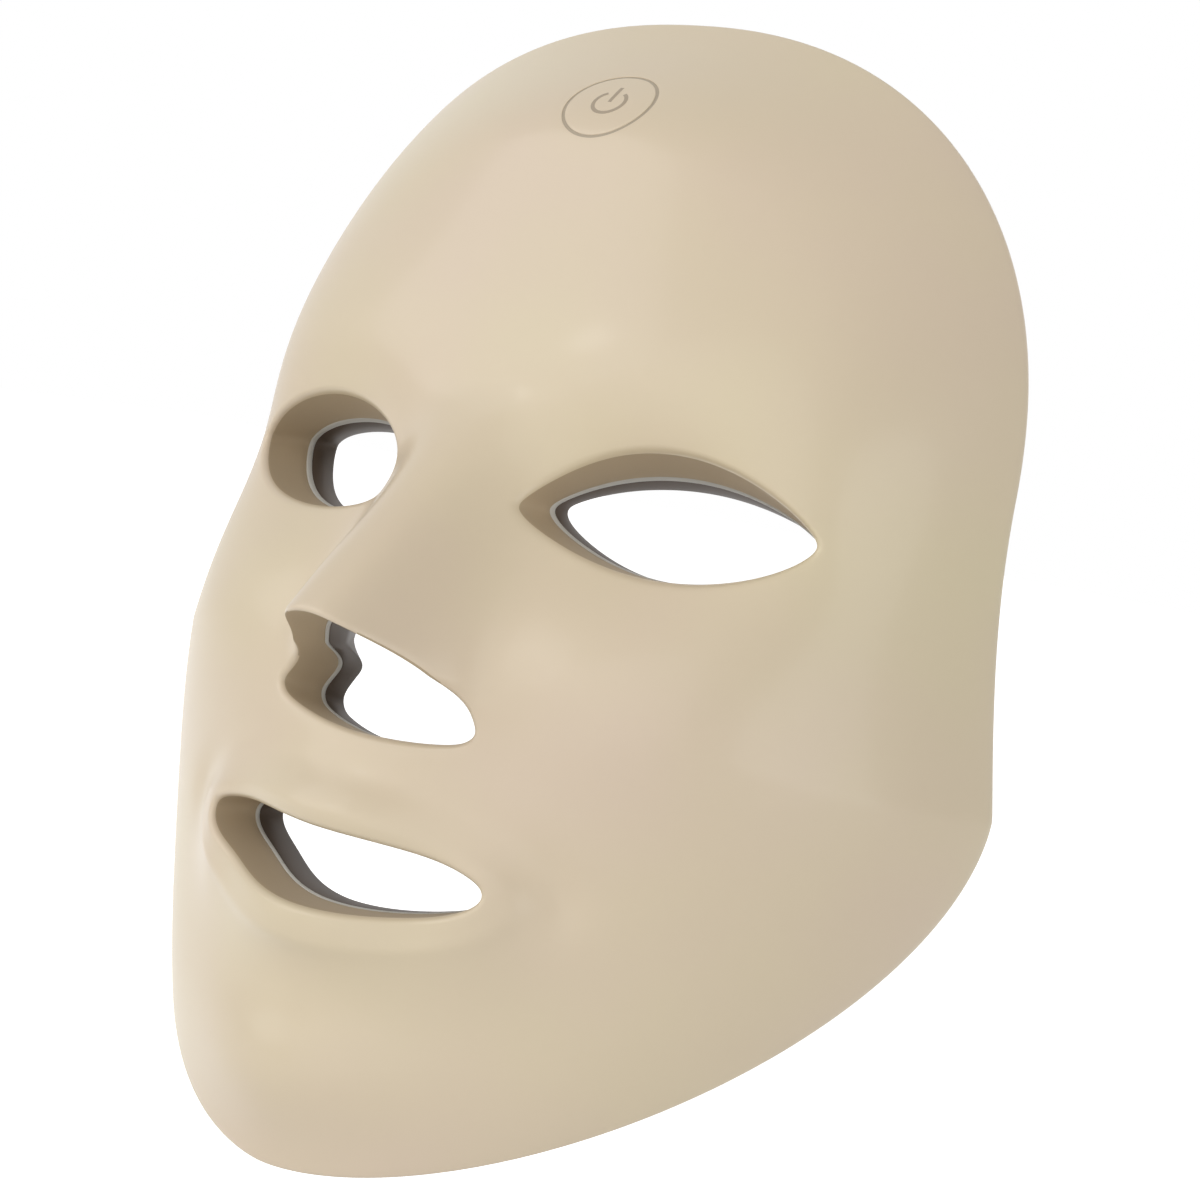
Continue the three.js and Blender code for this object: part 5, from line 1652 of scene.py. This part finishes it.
class FACEMASK_OT_studio(bpy.types.Operator):
    """Makes the white floor, the soft lights and the camera"""

    bl_idname = "facemask.studio"
    bl_label = "Studio"

    def execute(self, context):
        self.make_floor()
        self.make_world(context)
        for name, place, size, power in LIGHTS:
            self.make_softbox(name, place, size, power)
        self.make_camera(context)
        context.scene.view_settings.view_transform = "Standard"
        return {"FINISHED"}

    def add_seen_test(self, tree):
        """1 for rays from the camera, and for those by which gloss and glass show the surroundings."""
        rays = add_node(tree, "ShaderNodeLightPath")
        seen = rays.outputs["Is Camera Ray"]
        for kind in ("Is Glossy Ray", "Is Transmission Ray"):
            inputs = {0: seen, 1: rays.outputs[kind]}
            seen = add_node(tree, "ShaderNodeMath", inputs, operation="MAXIMUM").outputs[0]
        return seen

    def make_floor(self):
        """White paper: it keeps the object's shadow, and its glow brings it to white."""
        bpy.ops.mesh.primitive_plane_add(size=FLOOR_SIZE, location=(0, 0, FLOOR_LEVEL))
        floor = bpy.context.active_object
        floor.name = "floor"
        material = new_material("Matt paper sweep, white")
        tree = material.node_tree
        inputs = {0: self.add_seen_test(tree), 1: FLOOR_GLOW}
        glow = add_node(tree, "ShaderNodeMath", inputs, operation="MULTIPLY")
        shader = add_node(
            tree,
            "ShaderNodeBsdfPrincipled",
            {
                "Base Color": FLOOR_COLOUR,
                "Roughness": 0.9,
                "Specular IOR Level": 0.0,
                "Emission Color": WHITE,
                "Emission Strength": glow.outputs[0],
            },
        )
        add_node(tree, "ShaderNodeOutputMaterial", {"Surface": shader.outputs["BSDF"]})
        floor.data.materials.append(material)

    def make_world(self, context):
        """A dim white room light, seen as white itself."""
        world = bpy.data.worlds.new("Studio")
        world.use_nodes = True
        context.scene.world = world
        tree = world.node_tree
        tree.nodes.clear()
        inputs = {"Value": self.add_seen_test(tree), "To Min": WORLD_STRENGTH, "To Max": 1.0}
        strength = add_node(tree, "ShaderNodeMapRange", inputs).outputs["Result"]
        background = add_node(tree, "ShaderNodeBackground", {"Color": WHITE, "Strength": strength})
        add_node(tree, "ShaderNodeOutputWorld", {"Surface": background.outputs[0]})

    def make_softbox(self, name, place, size, power):
        bpy.ops.object.light_add(type="AREA", location=place)
        light = bpy.context.active_object
        light.name = name
        light.data.shape = "DISK"
        light.data.size = size
        light.data.energy = power
        aim = Vector(LIGHT_AIM) - Vector(place)
        light.rotation_euler = aim.to_track_quat("-Z", "Y").to_euler()

    def make_camera(self, context):
        azimuth, elevation, roll = (math.radians(angle) for angle in CAMERA_ANGLES)
        back = Vector((
            math.sin(azimuth) * math.cos(elevation),
            -math.cos(azimuth) * math.cos(elevation),
            math.sin(elevation),
        ))
        right = Vector((math.cos(azimuth), math.sin(azimuth), 0))
        up = back.cross(right)
        turned_right = right * math.cos(roll) + up * math.sin(roll)
        turned_up = up * math.cos(roll) - right * math.sin(roll)
        place = Vector(CAMERA_TARGET) * MM + back * CAMERA_DISTANCE * MM
        axes = Matrix((turned_right, turned_up, back)).transposed().to_4x4()
        bpy.ops.object.camera_add()
        camera = bpy.context.active_object
        camera.matrix_world = Matrix.Translation(place) @ axes
        camera.data.sensor_width = SENSOR_WIDTH
        camera.data.lens = SENSOR_WIDTH * FOCAL_PIXELS / PICTURE_PIXELS
        camera.data.shift_x = SHIFT_PIXELS[0] / PICTURE_PIXELS
        camera.data.shift_y = SHIFT_PIXELS[1] / PICTURE_PIXELS
        camera.data.clip_start = CLIP_START * MM
        context.scene.camera = camera


PIECE_OPERATORS = (
    FACEMASK_OT_front_shell,
    FACEMASK_OT_rear_shell,
    FACEMASK_OT_seals,
    FACEMASK_OT_power_button,
    FACEMASK_OT_case_screws,
    FACEMASK_OT_charging_socket,
    FACEMASK_OT_strap_brackets,
    FACEMASK_OT_light_boards,
    FACEMASK_OT_inner_finishes,
    FACEMASK_OT_studio,
)


class FACEMASK_PT_panel(bpy.types.Panel):
    """Lists the pieces and their sizes and colours"""

    bl_idname = "FACEMASK_PT_panel"
    bl_label = "Face Mask"
    bl_space_type = "VIEW_3D"
    bl_region_type = "UI"
    bl_category = "Face Mask"

    def draw(self, context):
        for group in (context.scene.face_mask_sizes, context.scene.face_mask_colours):
            box = self.layout.box()
            for name in group.__annotations__:
                box.prop(group, name)
        for operator in PIECE_OPERATORS:
            self.layout.operator(operator.bl_idname)


CLASSES = (FaceMaskSizes, FaceMaskColours, *PIECE_OPERATORS, FACEMASK_PT_panel)


def register():
    for cls in CLASSES:
        bpy.utils.register_class(cls)
    bpy.types.Scene.face_mask_sizes = PointerProperty(type=FaceMaskSizes)
    bpy.types.Scene.face_mask_colours = PointerProperty(type=FaceMaskColours)


def unregister():
    del bpy.types.Scene.face_mask_colours
    del bpy.types.Scene.face_mask_sizes
    for cls in reversed(CLASSES):
        bpy.utils.unregister_class(cls)


def main():
    register()
    bpy.ops.facemask.front_shell()
    bpy.ops.facemask.rear_shell()
    bpy.ops.facemask.seals()
    bpy.ops.facemask.power_button()
    bpy.ops.facemask.case_screws()
    bpy.ops.facemask.charging_socket()
    bpy.ops.facemask.strap_brackets()
    bpy.ops.facemask.light_boards()
    bpy.ops.facemask.inner_finishes()
    bpy.ops.facemask.studio()


if __name__ == "__main__":
    main()
